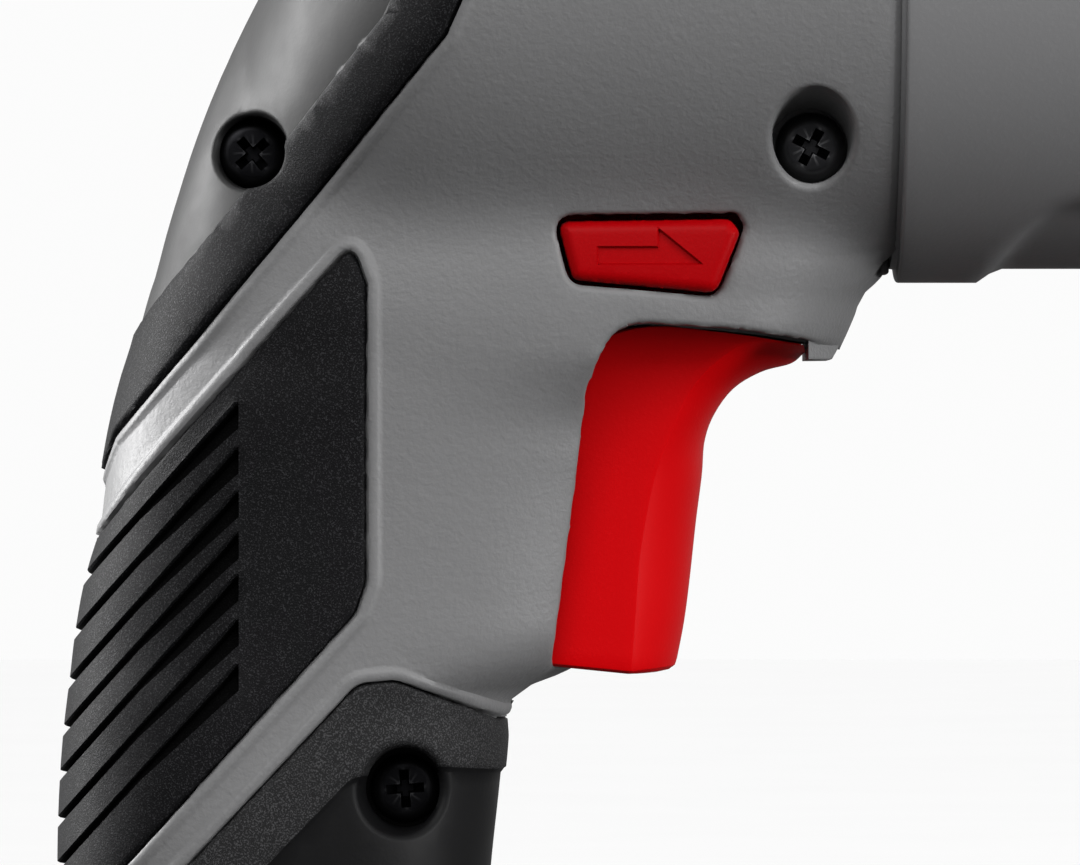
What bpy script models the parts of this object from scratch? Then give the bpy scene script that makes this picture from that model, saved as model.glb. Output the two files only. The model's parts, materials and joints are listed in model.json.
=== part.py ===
"""A pistol-grip cordless impact driver, built as the pieces that it comes apart into.

+X is the way the bit points, +Z is up, and the origin is the centre of the battery's base.
All driving sizes are in millimetres and are turned into metres when a mesh is made.
"""

import math

import bmesh
import bpy
import numpy as np
from mathutils import Matrix, Vector

# ---------------------------------------------------------------- driving sizes (mm)
MM = 0.001
GAP = 0.3              # between pieces that touch
PARTING = 0.15         # half the gap between the two housing halves
AXIS_Z = 193.0         # height of the bit's axis
HEAD_R = 31.3          # housing barrel
COVER_R = 32.0         # hammer case cover
SEAM_X = 24.3          # front face of the housing
DOME_X = 1.0           # where the rear dome starts on the axis
DOME_LENGTH = 32.0     # how far it reaches back
DOME_LEAN = 0.6        # the dome leans forward by this slope
WALL = 2.4
SKIN_IN, SKIN_OUT = 0.3, 1.1     # soft overmould, above the hard shell
TRIGGER_TILT = math.radians(7.0)  # the trigger slides back and slightly up
TRIGGER_HALF = 9.8
BLEND = 5.0            # fillet between the barrel and the grip

# side outline of the grip: height, back edge, front edge, half width
GRIP = [
    (60.0, -51.2, -9.0, 17.0),
    (66.0, -50.8, -11.6, 16.9),
    (84.0, -51.2, -13.6, 17.1),
    (96.0, -52.2, -13.1, 17.4),
    (108.0, -52.6, -12.1, 17.6),
    (116.0, -52.4, -11.3, 17.6),
    (121.6, -51.9, -10.9, 17.6),
    (123.2, -51.7, -9.8, 17.6),
    (124.8, -51.5, -6.2, 17.6),
    (128.0, -51.1, -2.2, 17.6),
    (136.0, -49.6, 0.2, 17.8),
    (144.0, -48.0, 2.6, 18.4),
    (150.0, -46.8, 7.0, 19.0),
    (153.8, -45.9, 17.9, 19.6),
    (156.0, -45.2, 19.8, 19.8),
    (158.6, -44.5, 21.2, 20.0),
    (161.4, -43.7, 23.2, 20.0),
    (166.0, -42.4, SEAM_X, 19.6),
    (173.0, -40.2, SEAM_X, 18.0),
    (180.0, -37.3, SEAM_X, 15.0),
]
HEAD_LEVELS = [187.0, 194.0, 201.0, 207.5, 213.0, 217.5, 221.0, 223.4]
COLUMNS = 9            # points along a section, from the back edge to the front one
NOSE_HALF = 13.6       # half width of the web above the trigger
NOSE_ROUND = 9.0       # how far that web rounds in to its front edge

# screws that join the halves: x, z, depth of the head's seat from the middle
SCREWS = {
    "front_low": (16.7, 173.1, 15.6),
    "front_high": (16.7, 212.9, 15.6),
    "rear_high": (-17.4, 203.2, 12.0),
    "rear_low": (-34.5, 172.8, 5.0),
    "grip": (-20.4, 114.4, 8.0),
    "foot_rear": (-44.0, 62.4, 14.0),
    "foot_front": (16.0, 62.4, 14.0),
}
BOSS_R, SLEEVE_R, SCREW_HOLE_R, HEAD_HOLE_R = 3.7, 5.1, 1.9, 3.8
SCREW_R, SCREW_HEAD_R, SCREW_HEAD_H, SCREW_END = 1.45, 3.2, 2.4, 7.2

# foot and battery
FOOT = ((-54.0, -34.0, 46.0), (46.0, 34.0, 66.0))
BAY_NECK = ((-50.4, -24.8, 40.0), (60.0, 24.8, 52.0))
BAY_HEAD = ((-50.4, -27.6, 50.3), (60.0, 27.6, 58.5))
PACK = ((-56.0, -37.0, 0.0), (56.0, 37.0, 45.4))
RAIL_NECK = ((-50.0, -24.4, 40.0), (43.0, 24.4, 52.0))
RAIL_HEAD = ((-50.0, -27.2, 50.7), (43.0, 27.2, 54.2))
LATCH = ((46.6, -14.0, 30.0), (55.4, 14.0, 46.4))
PACK_SPLIT_Z = 26.0
CELL_R, CELL_LENGTH, CELL_PITCH, CELL_COUNT, CELL_Z = 9.1, 65.0, 19.4, 5, 14.5

CONTACT_Y = (-9.0, -3.0, 3.0, 9.0)

# planetary gears, one module for all of them
MODULE = 0.8
SUN_TEETH, PLANET_TEETH, RING_TEETH = 8, 13, 34
PLANET_ORBIT = MODULE * (SUN_TEETH + PLANET_TEETH) / 2
GEAR_X = (17.4, 23.8)


# ---------------------------------------------------------------- scene and materials
def clear_scene():
    for obj in list(bpy.data.objects):
        bpy.data.objects.remove(obj)


def collection(name):
    made = bpy.data.collections.new(name)
    bpy.context.scene.collection.children.link(made)
    return made


def material(name, colour, roughness, metallic=0.0):
    made = bpy.data.materials.new(name)
    made.use_nodes = True
    shader = made.node_tree.nodes["Principled BSDF"]
    shader.inputs["Base Color"].default_value = (*colour, 1.0)
    shader.inputs["Roughness"].default_value = roughness
    shader.inputs["Metallic"].default_value = metallic
    made.diffuse_color = (*colour, 1.0)
    return made


clear_scene()
PARTS = collection("impact_driver")
CUTTERS = collection("cutters")
GREY = material("grey_plastic", (0.17, 0.17, 0.175), 0.5)
BLACK = material("black_elastomer", (0.02, 0.02, 0.021), 0.75)
RED = material("red_plastic", (0.55, 0.004, 0.008), 0.4)
PLASTIC = material("black_plastic", (0.018, 0.018, 0.02), 0.45)
ALLOY = material("cast_alloy", (0.55, 0.56, 0.58), 0.45, 0.9)
STEEL = material("steel", (0.5, 0.5, 0.52), 0.3, 1.0)
DARK_STEEL = material("blackened_steel", (0.03, 0.03, 0.032), 0.35, 0.9)
BRONZE = material("bronze", (0.5, 0.3, 0.12), 0.4, 0.9)
COPPER = material("copper", (0.7, 0.28, 0.12), 0.35, 0.9)
BOARD = material("circuit_board", (0.02, 0.12, 0.05), 0.5)
CELL = material("cell_wrap", (0.05, 0.22, 0.35), 0.4)
LENS = material("clear_lens", (0.85, 0.87, 0.9), 0.1)


# ---------------------------------------------------------------- general modelling tools
def place(obj, paint, cutter=False):
    """Puts an object in the parts collection with its paint, or in the cutters one, hidden."""
    for old in obj.users_collection:
        old.objects.unlink(obj)
    (CUTTERS if cutter else PARTS).objects.link(obj)
    if cutter:
        obj.hide_render = True
        obj.display_type = "WIRE"
    else:
        obj.data.materials.clear()
        obj.data.materials.append(paint)
    return obj


def from_bmesh(name, bm, paint=None):
    """An object made from a bmesh in millimetres: a cutter when it has no paint."""
    bmesh.ops.scale(bm, vec=(MM, MM, MM), verts=bm.verts)
    bmesh.ops.recalc_face_normals(bm, faces=bm.faces)
    mesh = bpy.data.meshes.new(name)
    bm.to_mesh(mesh)
    bm.free()
    return place(bpy.data.objects.new(name, mesh), paint, cutter=paint is None)


def smooth(obj, angle=35):
    obj.data.shade_smooth()
    obj.data.set_sharp_from_angle(angle=math.radians(angle))
    return obj


def bevel(obj, width, segments=2, angle=40):
    rounded = obj.modifiers.new("bevel", "BEVEL")
    rounded.width = width * MM
    rounded.segments = segments
    rounded.limit_method = "ANGLE"
    rounded.angle_limit = math.radians(angle)
    return obj


def combine(obj, other, operation):
    step = obj.modifiers.new(operation.lower(), "BOOLEAN")
    step.operation = operation
    step.solver = "EXACT"
    step.object = other
    return obj


def cut(obj, *others):
    for other in others:
        combine(obj, other, "DIFFERENCE")
    return obj


def join(obj, *others):
    for other in others:
        combine(obj, other, "UNION")
    return obj


def box(name, low, high, paint=None):
    """A box between two corners."""
    bm = bmesh.new()
    size = [b - a for a, b in zip(low, high)]
    middle = [(a + b) / 2 for a, b in zip(low, high)]
    bmesh.ops.create_cube(bm, size=1.0)
    bmesh.ops.transform(bm, matrix=Matrix.Translation(middle) @ Matrix.Diagonal((*size, 1)), verts=bm.verts)
    return from_bmesh(name, bm, paint)


TO_AXIS = {
    "X": Matrix(((0, 0, 1), (1, 0, 0), (0, 1, 0))).to_4x4(),
    "Y": Matrix(((1, 0, 0), (0, 0, -1), (0, 1, 0))).to_4x4(),
    "Z": Matrix.Identity(4),
}


def add_rod(bm, start, axis, length, radius, sides, far_radius=None):
    """Adds a cylinder or cone to a bmesh, from its start point along an axis."""
    direction = Vector(axis).normalized()
    turn = direction.to_track_quat("Z", "Y").to_matrix().to_4x4()
    middle = Vector(start) + direction * length / 2
    bmesh.ops.create_cone(
        bm, cap_ends=True, segments=sides, radius1=radius,
        radius2=radius if far_radius is None else far_radius, depth=length,
        matrix=Matrix.Translation(middle) @ turn)


def rod(name, start, axis, length, radius, sides=16, paint=None, far_radius=None):
    bm = bmesh.new()
    add_rod(bm, start, axis, length, radius, sides, far_radius)
    return from_bmesh(name, bm, paint)


def turned(name, profile, sides, paint=None, closed=True, turn=0.0):
    """A piece turned about the bit's axis. The profile holds (x, radius) pairs, from the
    front end backwards along the outer side, and on a bored piece forwards along the bore."""
    bm = bmesh.new()
    verts = [bm.verts.new((radius, 0, x)) for x, radius in profile]
    for a, b in zip(verts, verts[1:]):
        bm.edges.new((a, b))
    if closed:
        bm.edges.new((verts[-1], verts[0]))
    bmesh.ops.scale(bm, vec=(MM, MM, MM), verts=bm.verts)
    mesh = bpy.data.meshes.new(name)
    bm.to_mesh(mesh)
    bm.free()
    obj = place(bpy.data.objects.new(name, mesh), paint, cutter=paint is None)
    screw = obj.modifiers.new("screw", "SCREW")
    screw.axis = "Z"
    screw.angle = 2 * math.pi
    screw.steps = screw.render_steps = sides
    screw.use_merge_vertices = True
    screw.merge_threshold = 0.00001
    obj.matrix_world = Matrix.Translation((0, 0, AXIS_Z * MM)) @ TO_AXIS["X"] @ Matrix.Rotation(turn, 4, "Z")
    return obj


def ring(name, x0, x1, bore, outer, sides, paint=None):
    return turned(name, [(x1, outer), (x0, outer), (x0, bore), (x1, bore)], sides, paint)


def flat(name, loops, axis, low, high, paint=None):
    """A flat outline, with any holes, given a thickness from low to high along an axis.
    Outlines hold (x, z) pairs for Y, (y, z) for X and (x, y) for Z."""
    curve = bpy.data.curves.new(name, "CURVE")
    curve.dimensions = "2D"
    curve.fill_mode = "BOTH"
    curve.extrude = (high - low) / 2 * MM
    for loop in loops:
        spline = curve.splines.new("POLY")
        spline.points.add(len(loop) - 1)
        for point, (a, b) in zip(spline.points, loop):
            point.co = (a * MM, b * MM, 0, 1)
        spline.use_cyclic_u = True
    shape = bpy.data.objects.new(name + "_outline", curve)
    CUTTERS.objects.link(shape)
    middle = (low + high) / 2 * MM
    offset = {"X": (middle, 0, 0), "Y": (0, middle, 0), "Z": (0, 0, middle)}[axis]
    shape.matrix_world = Matrix.Translation(offset) @ TO_AXIS[axis]
    return solid_of(name, shape, paint)


def solid_of(name, shape, paint):
    """Turns a curve object into a closed mesh object, and removes the curve."""
    bpy.context.view_layer.update()
    evaluated = shape.evaluated_get(bpy.context.evaluated_depsgraph_get())
    mesh = bpy.data.meshes.new_from_object(evaluated)
    bm = bmesh.new()
    bm.from_mesh(mesh)
    bmesh.ops.remove_doubles(bm, verts=bm.verts, dist=0.000002)
    bmesh.ops.recalc_face_normals(bm, faces=bm.faces)
    bm.to_mesh(mesh)
    bm.free()
    obj = place(bpy.data.objects.new(name, mesh), paint, cutter=paint is None)
    obj.matrix_world = shape.matrix_world.copy()
    bpy.data.objects.remove(shape)
    return obj


def tubes(name, routes, radius, paint=None, closed=False, resolution=1):
    """Round wires along routes of points, as one node."""
    curve = bpy.data.curves.new(name, "CURVE")
    curve.dimensions = "3D"
    curve.bevel_depth = radius * MM
    curve.bevel_resolution = resolution
    curve.use_fill_caps = True
    for route in routes:
        spline = curve.splines.new("POLY")
        spline.points.add(len(route) - 1)
        for point, place_mm in zip(spline.points, route):
            point.co = (*(c * MM for c in place_mm), 1)
        spline.use_cyclic_u = closed
    shape = bpy.data.objects.new(name + "_route", curve)
    CUTTERS.objects.link(shape)
    return solid_of(name, shape, paint)


def eased(points, steps=3):
    """A smooth route through points, by Catmull-Rom interpolation."""
    ends = [points[0], *points, points[-1]]
    route = []
    for p0, p1, p2, p3 in zip(ends, ends[1:], ends[2:], ends[3:]):
        for k in range(steps):
            t = k / steps
            route.append(tuple(
                0.5 * (2 * b + (c - a) * t + (2 * a - 5 * b + 4 * c - d) * t * t
                       + (3 * b - a - 3 * c + d) * t ** 3)
                for a, b, c, d in zip(p0, p1, p2, p3)))
    return route + [points[-1]]


def rounded(corners, steps=3):
    """An outline whose corners, given as (a, b, radius), are rounded by arcs."""
    outline = []
    count = len(corners)
    for i, (a, b, radius) in enumerate(corners):
        here = Vector((a, b))
        before = Vector(corners[i - 1][:2]) - here
        after = Vector(corners[(i + 1) % count][:2]) - here
        if radius == 0:
            outline.append((a, b))
            continue
        half = before.angle(after) / 2
        reach = min(radius / math.tan(half), 0.49 * before.length, 0.49 * after.length)
        start = here + before.normalized() * reach
        end = here + after.normalized() * reach
        for k in range(steps + 1):
            t = k / steps
            point = start.lerp(here, t).lerp(here.lerp(end, t), t)
            outline.append(tuple(point))
    return outline


def coil(x0, x1, radius, turns, per_turn, y=0.0, z=AXIS_Z, axis="X"):
    """Points of a helix along X about (y, z), or along Z about (x0, y) when axis is Z."""
    count = int(turns * per_turn) + 1
    route = []
    for k in range(count):
        angle = 2 * math.pi * k / per_turn
        along = x0 + (x1 - x0) * k / (count - 1)
        a, b = radius * math.cos(angle), radius * math.sin(angle)
        route.append((along, y + a, z + b) if axis == "X" else (z + a, y + b, along))
    return route


# ---------------------------------------------------------------- the housing's surface
GRIP_TABLE = np.array(GRIP)


def eased_table(z, column):
    """A column of the grip's outline at height z, by Catmull-Rom interpolation."""
    levels = GRIP_TABLE[:, 0]
    z = min(max(z, levels[0]), levels[-1])
    i = min(max(int(np.searchsorted(levels, z)) - 1, 0), len(levels) - 2)
    step = levels[i + 1] - levels[i]
    t = (z - levels[i]) / step
    value = GRIP_TABLE[:, column]
    left = max(i - 1, 0)
    right = min(i + 2, len(levels) - 1)
    m0 = (value[i + 1] - value[left]) / (levels[i + 1] - levels[left]) * step
    m1 = (value[right] - value[i]) / (levels[right] - levels[i]) * step
    return ((2 * t ** 3 - 3 * t ** 2 + 1) * value[i] + (t ** 3 - 2 * t ** 2 + t) * m0
            + (3 * t ** 2 - 2 * t ** 3) * value[i + 1] + (t ** 3 - t ** 2) * m1)


def signed_root(value):
    return math.copysign(math.sqrt(abs(value)), value)


def head_half(x, z):
    """Half width of the barrel and its leaning rear dome at a point of the side view."""
    rise = (z - AXIS_Z) / HEAD_R
    start = DOME_X + DOME_LEAN * (z - AXIS_Z)
    back = max(0.0, (start - x) / DOME_LENGTH)
    return HEAD_R * signed_root(1 - rise * rise - back * back)


def grip_half(x, z):
    """Half width of the grip, whose sections are rounded boxes."""
    back, front, half = (eased_table(z, column) for column in (1, 2, 3))
    middle, reach = (back + front) / 2, (front - back) / 2
    power = 2.4
    inside = 1 - abs((x - middle) / reach) ** power
    fade = 1.0 if z < 172 else max(0.0, 1 - ((z - 172) / 22) ** 2)
    return half * fade * math.copysign(abs(inside) ** (1 / power), inside)


def soft_max(a, b, blend=BLEND):
    near = max(blend - abs(a - b), 0) / blend
    return max(a, b) + near * near * blend / 4


def dome_back(z):
    """The rear edge of the dome at height z."""
    rise = (z - AXIS_Z) / HEAD_R
    return DOME_X + DOME_LEAN * (z - AXIS_Z) - DOME_LENGTH * math.sqrt(max(0.0, 1 - rise * rise))


def back_edge(z):
    if z > GRIP_TABLE[-1, 0]:
        return dome_back(z)
    return min(eased_table(z, 1), dome_back(z) if z > 178 else 0)


def front_edge(z):
    return SEAM_X if z > 163 else eased_table(z, 2)


def half_width(x, z):
    """Half width of the whole housing at a point of the side view."""
    half = soft_max(head_half(x, z), grip_half(x, z))
    if 150 < z < 172:
        inset = (front_edge(z) - x) / NOSE_ROUND
        web = NOSE_HALF * math.sqrt(max(0.0, 1 - max(0.0, 1 - inset) ** 2))
        half = soft_max(half, web if x > -10 else 0, 3.0)
    return max(half, 0.0)


def levels():
    return [row[0] for row in GRIP] + HEAD_LEVELS + [AXIS_Z + HEAD_R]


def section(z, inset=0.0):
    """Points (x, half width) of one level, from the back edge to the front one. An inset
    moves the outline inwards, and closes it short of the front face."""
    back, front = back_edge(z) + inset, front_edge(z) - inset
    open_front = z > AXIS_Z - HEAD_R and inset == 0
    points = []
    for k in range(COLUMNS):
        t = k / (COLUMNS - 1)
        share = 1 - math.cos(math.pi / 2 * t) if open_front else (1 - math.cos(math.pi * t)) / 2
        x = back + (front - back) * share
        ends = k == 0 or (k == COLUMNS - 1 and not open_front)
        half = 0.0 if ends else max(half_width(x, z) - inset, 0.3)
        if open_front and k == COLUMNS - 1:
            half = math.sqrt(max(0.0, HEAD_R ** 2 - (z - AXIS_Z) ** 2))
        points.append((x, half))
    return points


def surface_rings(inset=0.0):
    """The closed outline at every level as one array of rings, right side then left."""
    rings = []
    for z in levels():
        if z > AXIS_Z + HEAD_R - inset:
            continue
        right = section(z, inset)
        left = right[1:][::-1]
        rings.append([(x, -y, z) for x, y in right] + [(x, y, z) for x, y in left])
    return np.array(rings, float)


def ring_normals(rings):
    around = np.roll(rings, -1, axis=1) - np.roll(rings, 1, axis=1)
    along = np.gradient(rings, axis=0)
    normal = np.cross(around, along)
    length = np.linalg.norm(normal, axis=2, keepdims=True)
    return normal / np.maximum(length, 1e-9)


def loft(name, rings):
    """A closed body through rings of points, with flat ends."""
    bm = bmesh.new()
    grid = [[bm.verts.new(p) for p in ring_points] for ring_points in rings]
    count = len(grid[0])
    for low, high in zip(grid, grid[1:]):
        for k in range(count):
            bm.faces.new((low[k], low[(k + 1) % count], high[(k + 1) % count], high[k]))
    bm.faces.new(grid[0][::-1])
    bm.faces.new(grid[-1])
    bmesh.ops.remove_doubles(bm, verts=bm.verts, dist=0.02)
    bmesh.ops.dissolve_degenerate(bm, edges=bm.edges, dist=0.01)
    bmesh.ops.triangulate(bm, faces=bm.faces)
    return from_bmesh(name, bm)


def housing_body(name, offset, front_x):
    """A closed loft of the housing's surface, moved outwards by an offset."""
    rings = surface_rings()
    moved = rings + ring_normals(rings) * offset
    moved[-1] = rings[-1] + np.array((0, 0, offset))
    side = np.sign(rings[:, :, 1])
    wrong = (moved[:, :, 1] * side < 0) | (side == 0)
    moved[:, :, 1][wrong] = 0
    moved[:, :, 0][rings[:, :, 0] > SEAM_X - 0.01] = front_x
    return loft(name, moved)


# ---------------------------------------------------------------- housing halves and overmoulds
TRIGGER_OPENING = rounded([
    (-6.6, 125.7, 0), (-5.6, 134.0, 0), (-4.5, 143.0, 0), (-3.6, 151.0, 3.0), (-1.0, 157.1, 5.0),
    (10.3, 156.3, 0), (16.5, 155.0, 0), (17.0, 150.0, 0), (17.0, 125.2, 0)], 3)
SELECTOR_WINDOW = rounded([
    (-6.9, 166.7, 1.6), (10.7, 166.9, 1.6), (8.3, 159.5, 1.8), (-5.3, 160.6, 1.8)], 2)
REAR_SKIN = rounded([
    (-60.0, 143.6, 0), (-47.5, 143.6, 0), (-16.8, 183.2, 3.0), (-14.7, 190.0, 3.0), (-14.7, 240.0, 0), (-60.0, 240.0, 0)], 3)
PAD = rounded([
    (-70.0, 99.6, 0), (-53.0, 99.6, 0), (-44.5, 109.2, 0), (-24.6, 130.9, 2.5), (-23.9, 137.0, 2.5),
    (-23.9, 160.5, 0), (-25.4, 164.2, 1.5), (-48.4, 138.2, 0), (-70.0, 138.2, 0)], 3)
LOWER_SKIN = rounded([
    (-70.0, 67.5, 0), (5.0, 67.5, 0), (5.0, 121.4, 0), (-12.0, 121.0, 0), (-22.6, 124.6, 2.5), (-28.9, 118.9, 2.5),
    (-52.8, 94.2, 0), (-70.0, 94.2, 0)], 3)


def screw_rods(name, radius, start, length, sides, picked=tuple(SCREWS), seats=False, seat_shift=0.0):
    """One rod for each screw, along Y. With seats, each rod runs out from its head's seat."""
    bm = bmesh.new()
    for key in picked:
        x, z, seat = SCREWS[key]
        begin = seat_shift - seat if seats else start
        add_rod(bm, (x, begin, z), (0, -1 if seats else 1, 0), length, radius, sides)
    return from_bmesh(name, bm)


def housing_half(name, side, envelope, cavity, foot, bay):
    """One half of the shell: side is -1 for the right half and 1 for the left one."""
    low, high = (-60.0, -PARTING) if side < 0 else (PARTING, 60.0)
    bosses = screw_rods(name + "_bosses", BOSS_R, low - 5, high - low + 10, 8)
    if side < 0:
        sleeves = screw_rods(name + "_sleeves", SLEEVE_R, 0, 60, 10, seats=True, seat_shift=2.4)
    hollow = box(name + "_hollow", (-90, -60, 20), (110, 60, 260))
    combine(hollow, cavity, "INTERSECT")
    cut(hollow, bosses)
    if side < 0:
        cut(hollow, sleeves)
    cut(hollow, ring(name + "_stator_rib", -2.0, 0.0, 20.3, 40.0, 24))
    saddle = [(-40, 184), (40, 184), (40, 240), (-40, 240)]
    cut(hollow, flat(name + "_bearing_rib", [saddle, circle(6.6, 12, 0, AXIS_Z)], "X", -15.8, -14.0))
    half = box(name, (-90, low, 10), (110, high, 260), GREY)
    combine(half, envelope, "INTERSECT")
    cut(half, hollow, bay)
    cut(half, screw_rods(name + "_pilots", SCREW_HOLE_R, -70 if side < 0 else -5, 71 if side < 0 else 13, 8))
    if side < 0:
        cut(half, screw_rods(name + "_recesses", HEAD_HOLE_R, 0, 60, 10, seats=True))
    cut(half, box(name + "_trigger_pocket", (-26, -10.2, 125.9), (4, 10.2, 158.4)))
    low_y, high_y = (-60, 1) if side < 0 else (-1, 60)
    cut(half, flat(name + "_trigger_opening", [TRIGGER_OPENING], "Y", low_y, high_y))
    cut(half, flat(name + "_selector_window", [SELECTOR_WINDOW], "Y", low_y, high_y))
    cut(half, box(name + "_light_window", (36.5, -5, 55), (43.5, 5, 70)))
    return half


def overmould(name, side, outline, outer, inner, holes=()):
    """A soft skin over the hard shell, within an outline of the side view."""
    low, high = (-60.0, -PARTING) if side < 0 else (PARTING, 60.0)
    skin = flat(name, [outline], "Y", low, high, BLACK)
    combine(skin, outer, "INTERSECT")
    cut(skin, inner)
    if side < 0 and holes:
        cut(skin, screw_rods(name + "_holes", HEAD_HOLE_R + 0.2, -60, 60, 12, holes))
    return skin


def build_housing():
    envelope = housing_body("envelope", 0.0, SEAM_X)
    cavity = loft("cavity", surface_rings(WALL))
    join(cavity, turned("barrel_bore", [(40.0, 0), (40.0, 28.8), (19.4, 28.8), (19.4, 0)], 36, closed=False))
    foot = box("foot_block", *FOOT)
    bevel(foot, 5.0, 2)
    join(envelope, foot)
    bay = box("battery_bay", *BAY_NECK)
    join(bay, box("bay_head", *BAY_HEAD), box("wire_way", (-40, -8, 50), (-18, 8, 66)))
    for side, word in ((-1, "right"), (1, "left")):
        housing_half("housing_" + word, side, envelope, cavity, foot, bay)
    outer = housing_body("skin_outer", SKIN_OUT, SEAM_X)
    inner = housing_body("skin_inner", SKIN_IN, SEAM_X + 4)
    for side, word in ((-1, "right"), (1, "left")):
        overmould("rear_overmould_" + word, side, REAR_SKIN, outer, inner, ("rear_low", "rear_high"))
        overmould("grip_pad_" + word, side, PAD, outer, inner)
        overmould("lower_overmould_" + word, side, LOWER_SKIN, outer, inner, ("grip",))


def build_screws():
    """Each screw lies along Y, its head on its seat in the right half."""
    for key, (x, z, seat) in SCREWS.items():
        length = seat + 1.0 + SCREW_END
        shank = rod("screw_" + key, (x, -seat - 1.0, z), (0, 1, 0), length, SCREW_R, 8, DARK_STEEL)
        bm = bmesh.new()
        start = (x, -seat - 0.2, z)
        add_rod(bm, start, (0, -1, 0), SCREW_HEAD_H, SCREW_HEAD_R, 12, SCREW_HEAD_R * 0.8)
        join(shank, from_bmesh("head_" + key, bm))


# ---------------------------------------------------------------- trigger, selector and switch
def tilted(obj):
    """Turns a piece with the trigger's slide direction, about the trigger's middle."""
    pivot = Matrix.Translation((0, 0, 141.0 * MM))
    obj.matrix_world = pivot @ Matrix.Rotation(TRIGGER_TILT, 4, "Y") @ pivot.inverted() @ obj.matrix_world
    return obj


TRIGGER_SIDE = rounded([
    (-9.6, 126.9, 1.0), (-5.5, 126.0, 0), (3.6, 124.8, 2.2), (5.6, 131.5, 0), (6.6, 139.0, 0), (7.3, 146.0, 0),
    (9.2, 150.6, 3.0), (16.2, 153.6, 1.0), (15.6, 154.8, 0.5), (2.0, 156.6, 0), (-3.6, 157.0, 2.0), (-8.0, 155.0, 2.0)], 3)


def build_trigger():
    trigger = flat("trigger", [TRIGGER_SIDE], "Y", -TRIGGER_HALF, TRIGGER_HALF, RED)
    bevel(trigger, 0.8, 1, 60)
    cut(trigger, box("trigger_hollow", (-20, -7.4, 130), (-2.6, 7.4, 152)))
    join(trigger, tilted(rod("trigger_plunger", (0, 0, 141.0), (-1, 0, 0), 19.2, 2.0, 12)))
    switch = tilted(box("switch_body", (-33.0, -8.6, 131.0), (-16.0, 8.6, 153.0), PLASTIC))
    bevel(switch, 0.8, 1)
    cut(switch, tilted(rod("plunger_hole", (-12, 0, 141.0), (-1, 0, 0), 14.5, 2.6, 12)))
    tilted(tubes("trigger_spring", [coil(-15.6, -3.6, 3.6, 5, 8, 0.0, 141.0)], 0.4, STEEL, resolution=0))


def build_selector():
    outline = rounded([(-6.4, 166.2, 1.4), (10.1, 166.4, 1.4), (7.9, 160.0, 1.6), (-4.9, 161.1, 1.6)], 2)
    selector = flat("direction_selector", [outline], "Y", -20.0, 20.0, RED)
    bevel(selector, 0.5, 1, 60)
    for side in (-1, 1):
        ends = sorted((side * 6.0, side * 11.5))
        cut(selector, box(f"selector_waist_{side}", (-20, ends[0], 158.0), (30, ends[1], 162.4)))


# ---------------------------------------------------------------- hammer case and its cover
def build_case():
    turned("hammer_case_cover", [
        (76.0, 17.2), (74.0, 18.4), (66.0, 25.4), (57.0, 30.6), (51.0, COVER_R), (25.6, COVER_R), (25.0, 31.5),
        (25.0, 28.9), (56.0, 28.9), (64.0, 24.4), (75.0, 15.0), (76.0, 15.0)], 36, GREY)
    smooth(turned("hammer_case", [
        (83.0, 12.6), (82.4, 13.0), (75.4, 13.0), (74.6, 14.4), (63.5, 24.0), (55.5, 28.5), (22.0, 28.5),
        (22.0, 25.7), (58.5, 25.7), (65.0, 15.0), (66.0, 9.4), (83.0, 9.4)], 24, ALLOY))
    smooth(turned("nose_bumper", [
        (84.0, 15.6), (82.8, 17.0), (78.0, 17.2), (76.4, 16.6), (76.4, 13.4), (84.0, 13.4)], 24, BLACK))
    ring("anvil_bushing", 66.4, 82.6, 7.9, 9.0, 24, BRONZE)
    ring("case_plate", 22.0, 24.0, 16.4, 25.3, 24, STEEL)


# ---------------------------------------------------------------- motor and gears
def gear_loop(teeth, phase, addendum, dedendum, share=0.40, internal=False):
    """Outline of a spur gear about the origin: phase is the angle of one tooth's middle."""
    radius = MODULE * teeth / 2
    tip = radius - addendum if internal else radius + addendum
    root = radius + dedendum if internal else radius - dedendum
    pitch = 2 * math.pi / teeth
    points = []
    for k in range(teeth):
        middle = phase + k * pitch
        wide = pitch * share * 0.5 + 0.25 / root
        narrow = pitch * share * 0.5 - 0.22 / tip
        for angle, r in ((-wide, root), (-narrow, tip), (narrow, tip), (wide, root)):
            points.append((r * math.cos(middle + angle), r * math.sin(middle + angle)))
    return points


def shifted(points, y, z):
    return [(a + y, b + z) for a, b in points]


def circle(radius, count, y=0.0, z=0.0):
    return [(y + radius * math.cos(2 * math.pi * k / count), z + radius * math.sin(2 * math.pi * k / count))
            for k in range(count)]


def build_gears():
    up = math.pi / 2
    ring_teeth = gear_loop(RING_TEETH, up + math.pi / RING_TEETH, 0.5, 0.75, internal=True)
    flat("ring_gear", [shifted(ring_teeth, 0, AXIS_Z), circle(16.0, 34, 0, AXIS_Z)], "X", 17.2, 24.0, STEEL)
    for word, way in (("a", 1), ("b", -1)):
        phase = way * up
        teeth = gear_loop(PLANET_TEETH, phase, 0.5, 0.62)
        centre = AXIS_Z + way * PLANET_ORBIT
        flat(f"planet_gear_{word}", [shifted(teeth, 0, centre), circle(2.5, 10, 0, centre)], "X", *GEAR_X, STEEL)


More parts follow.
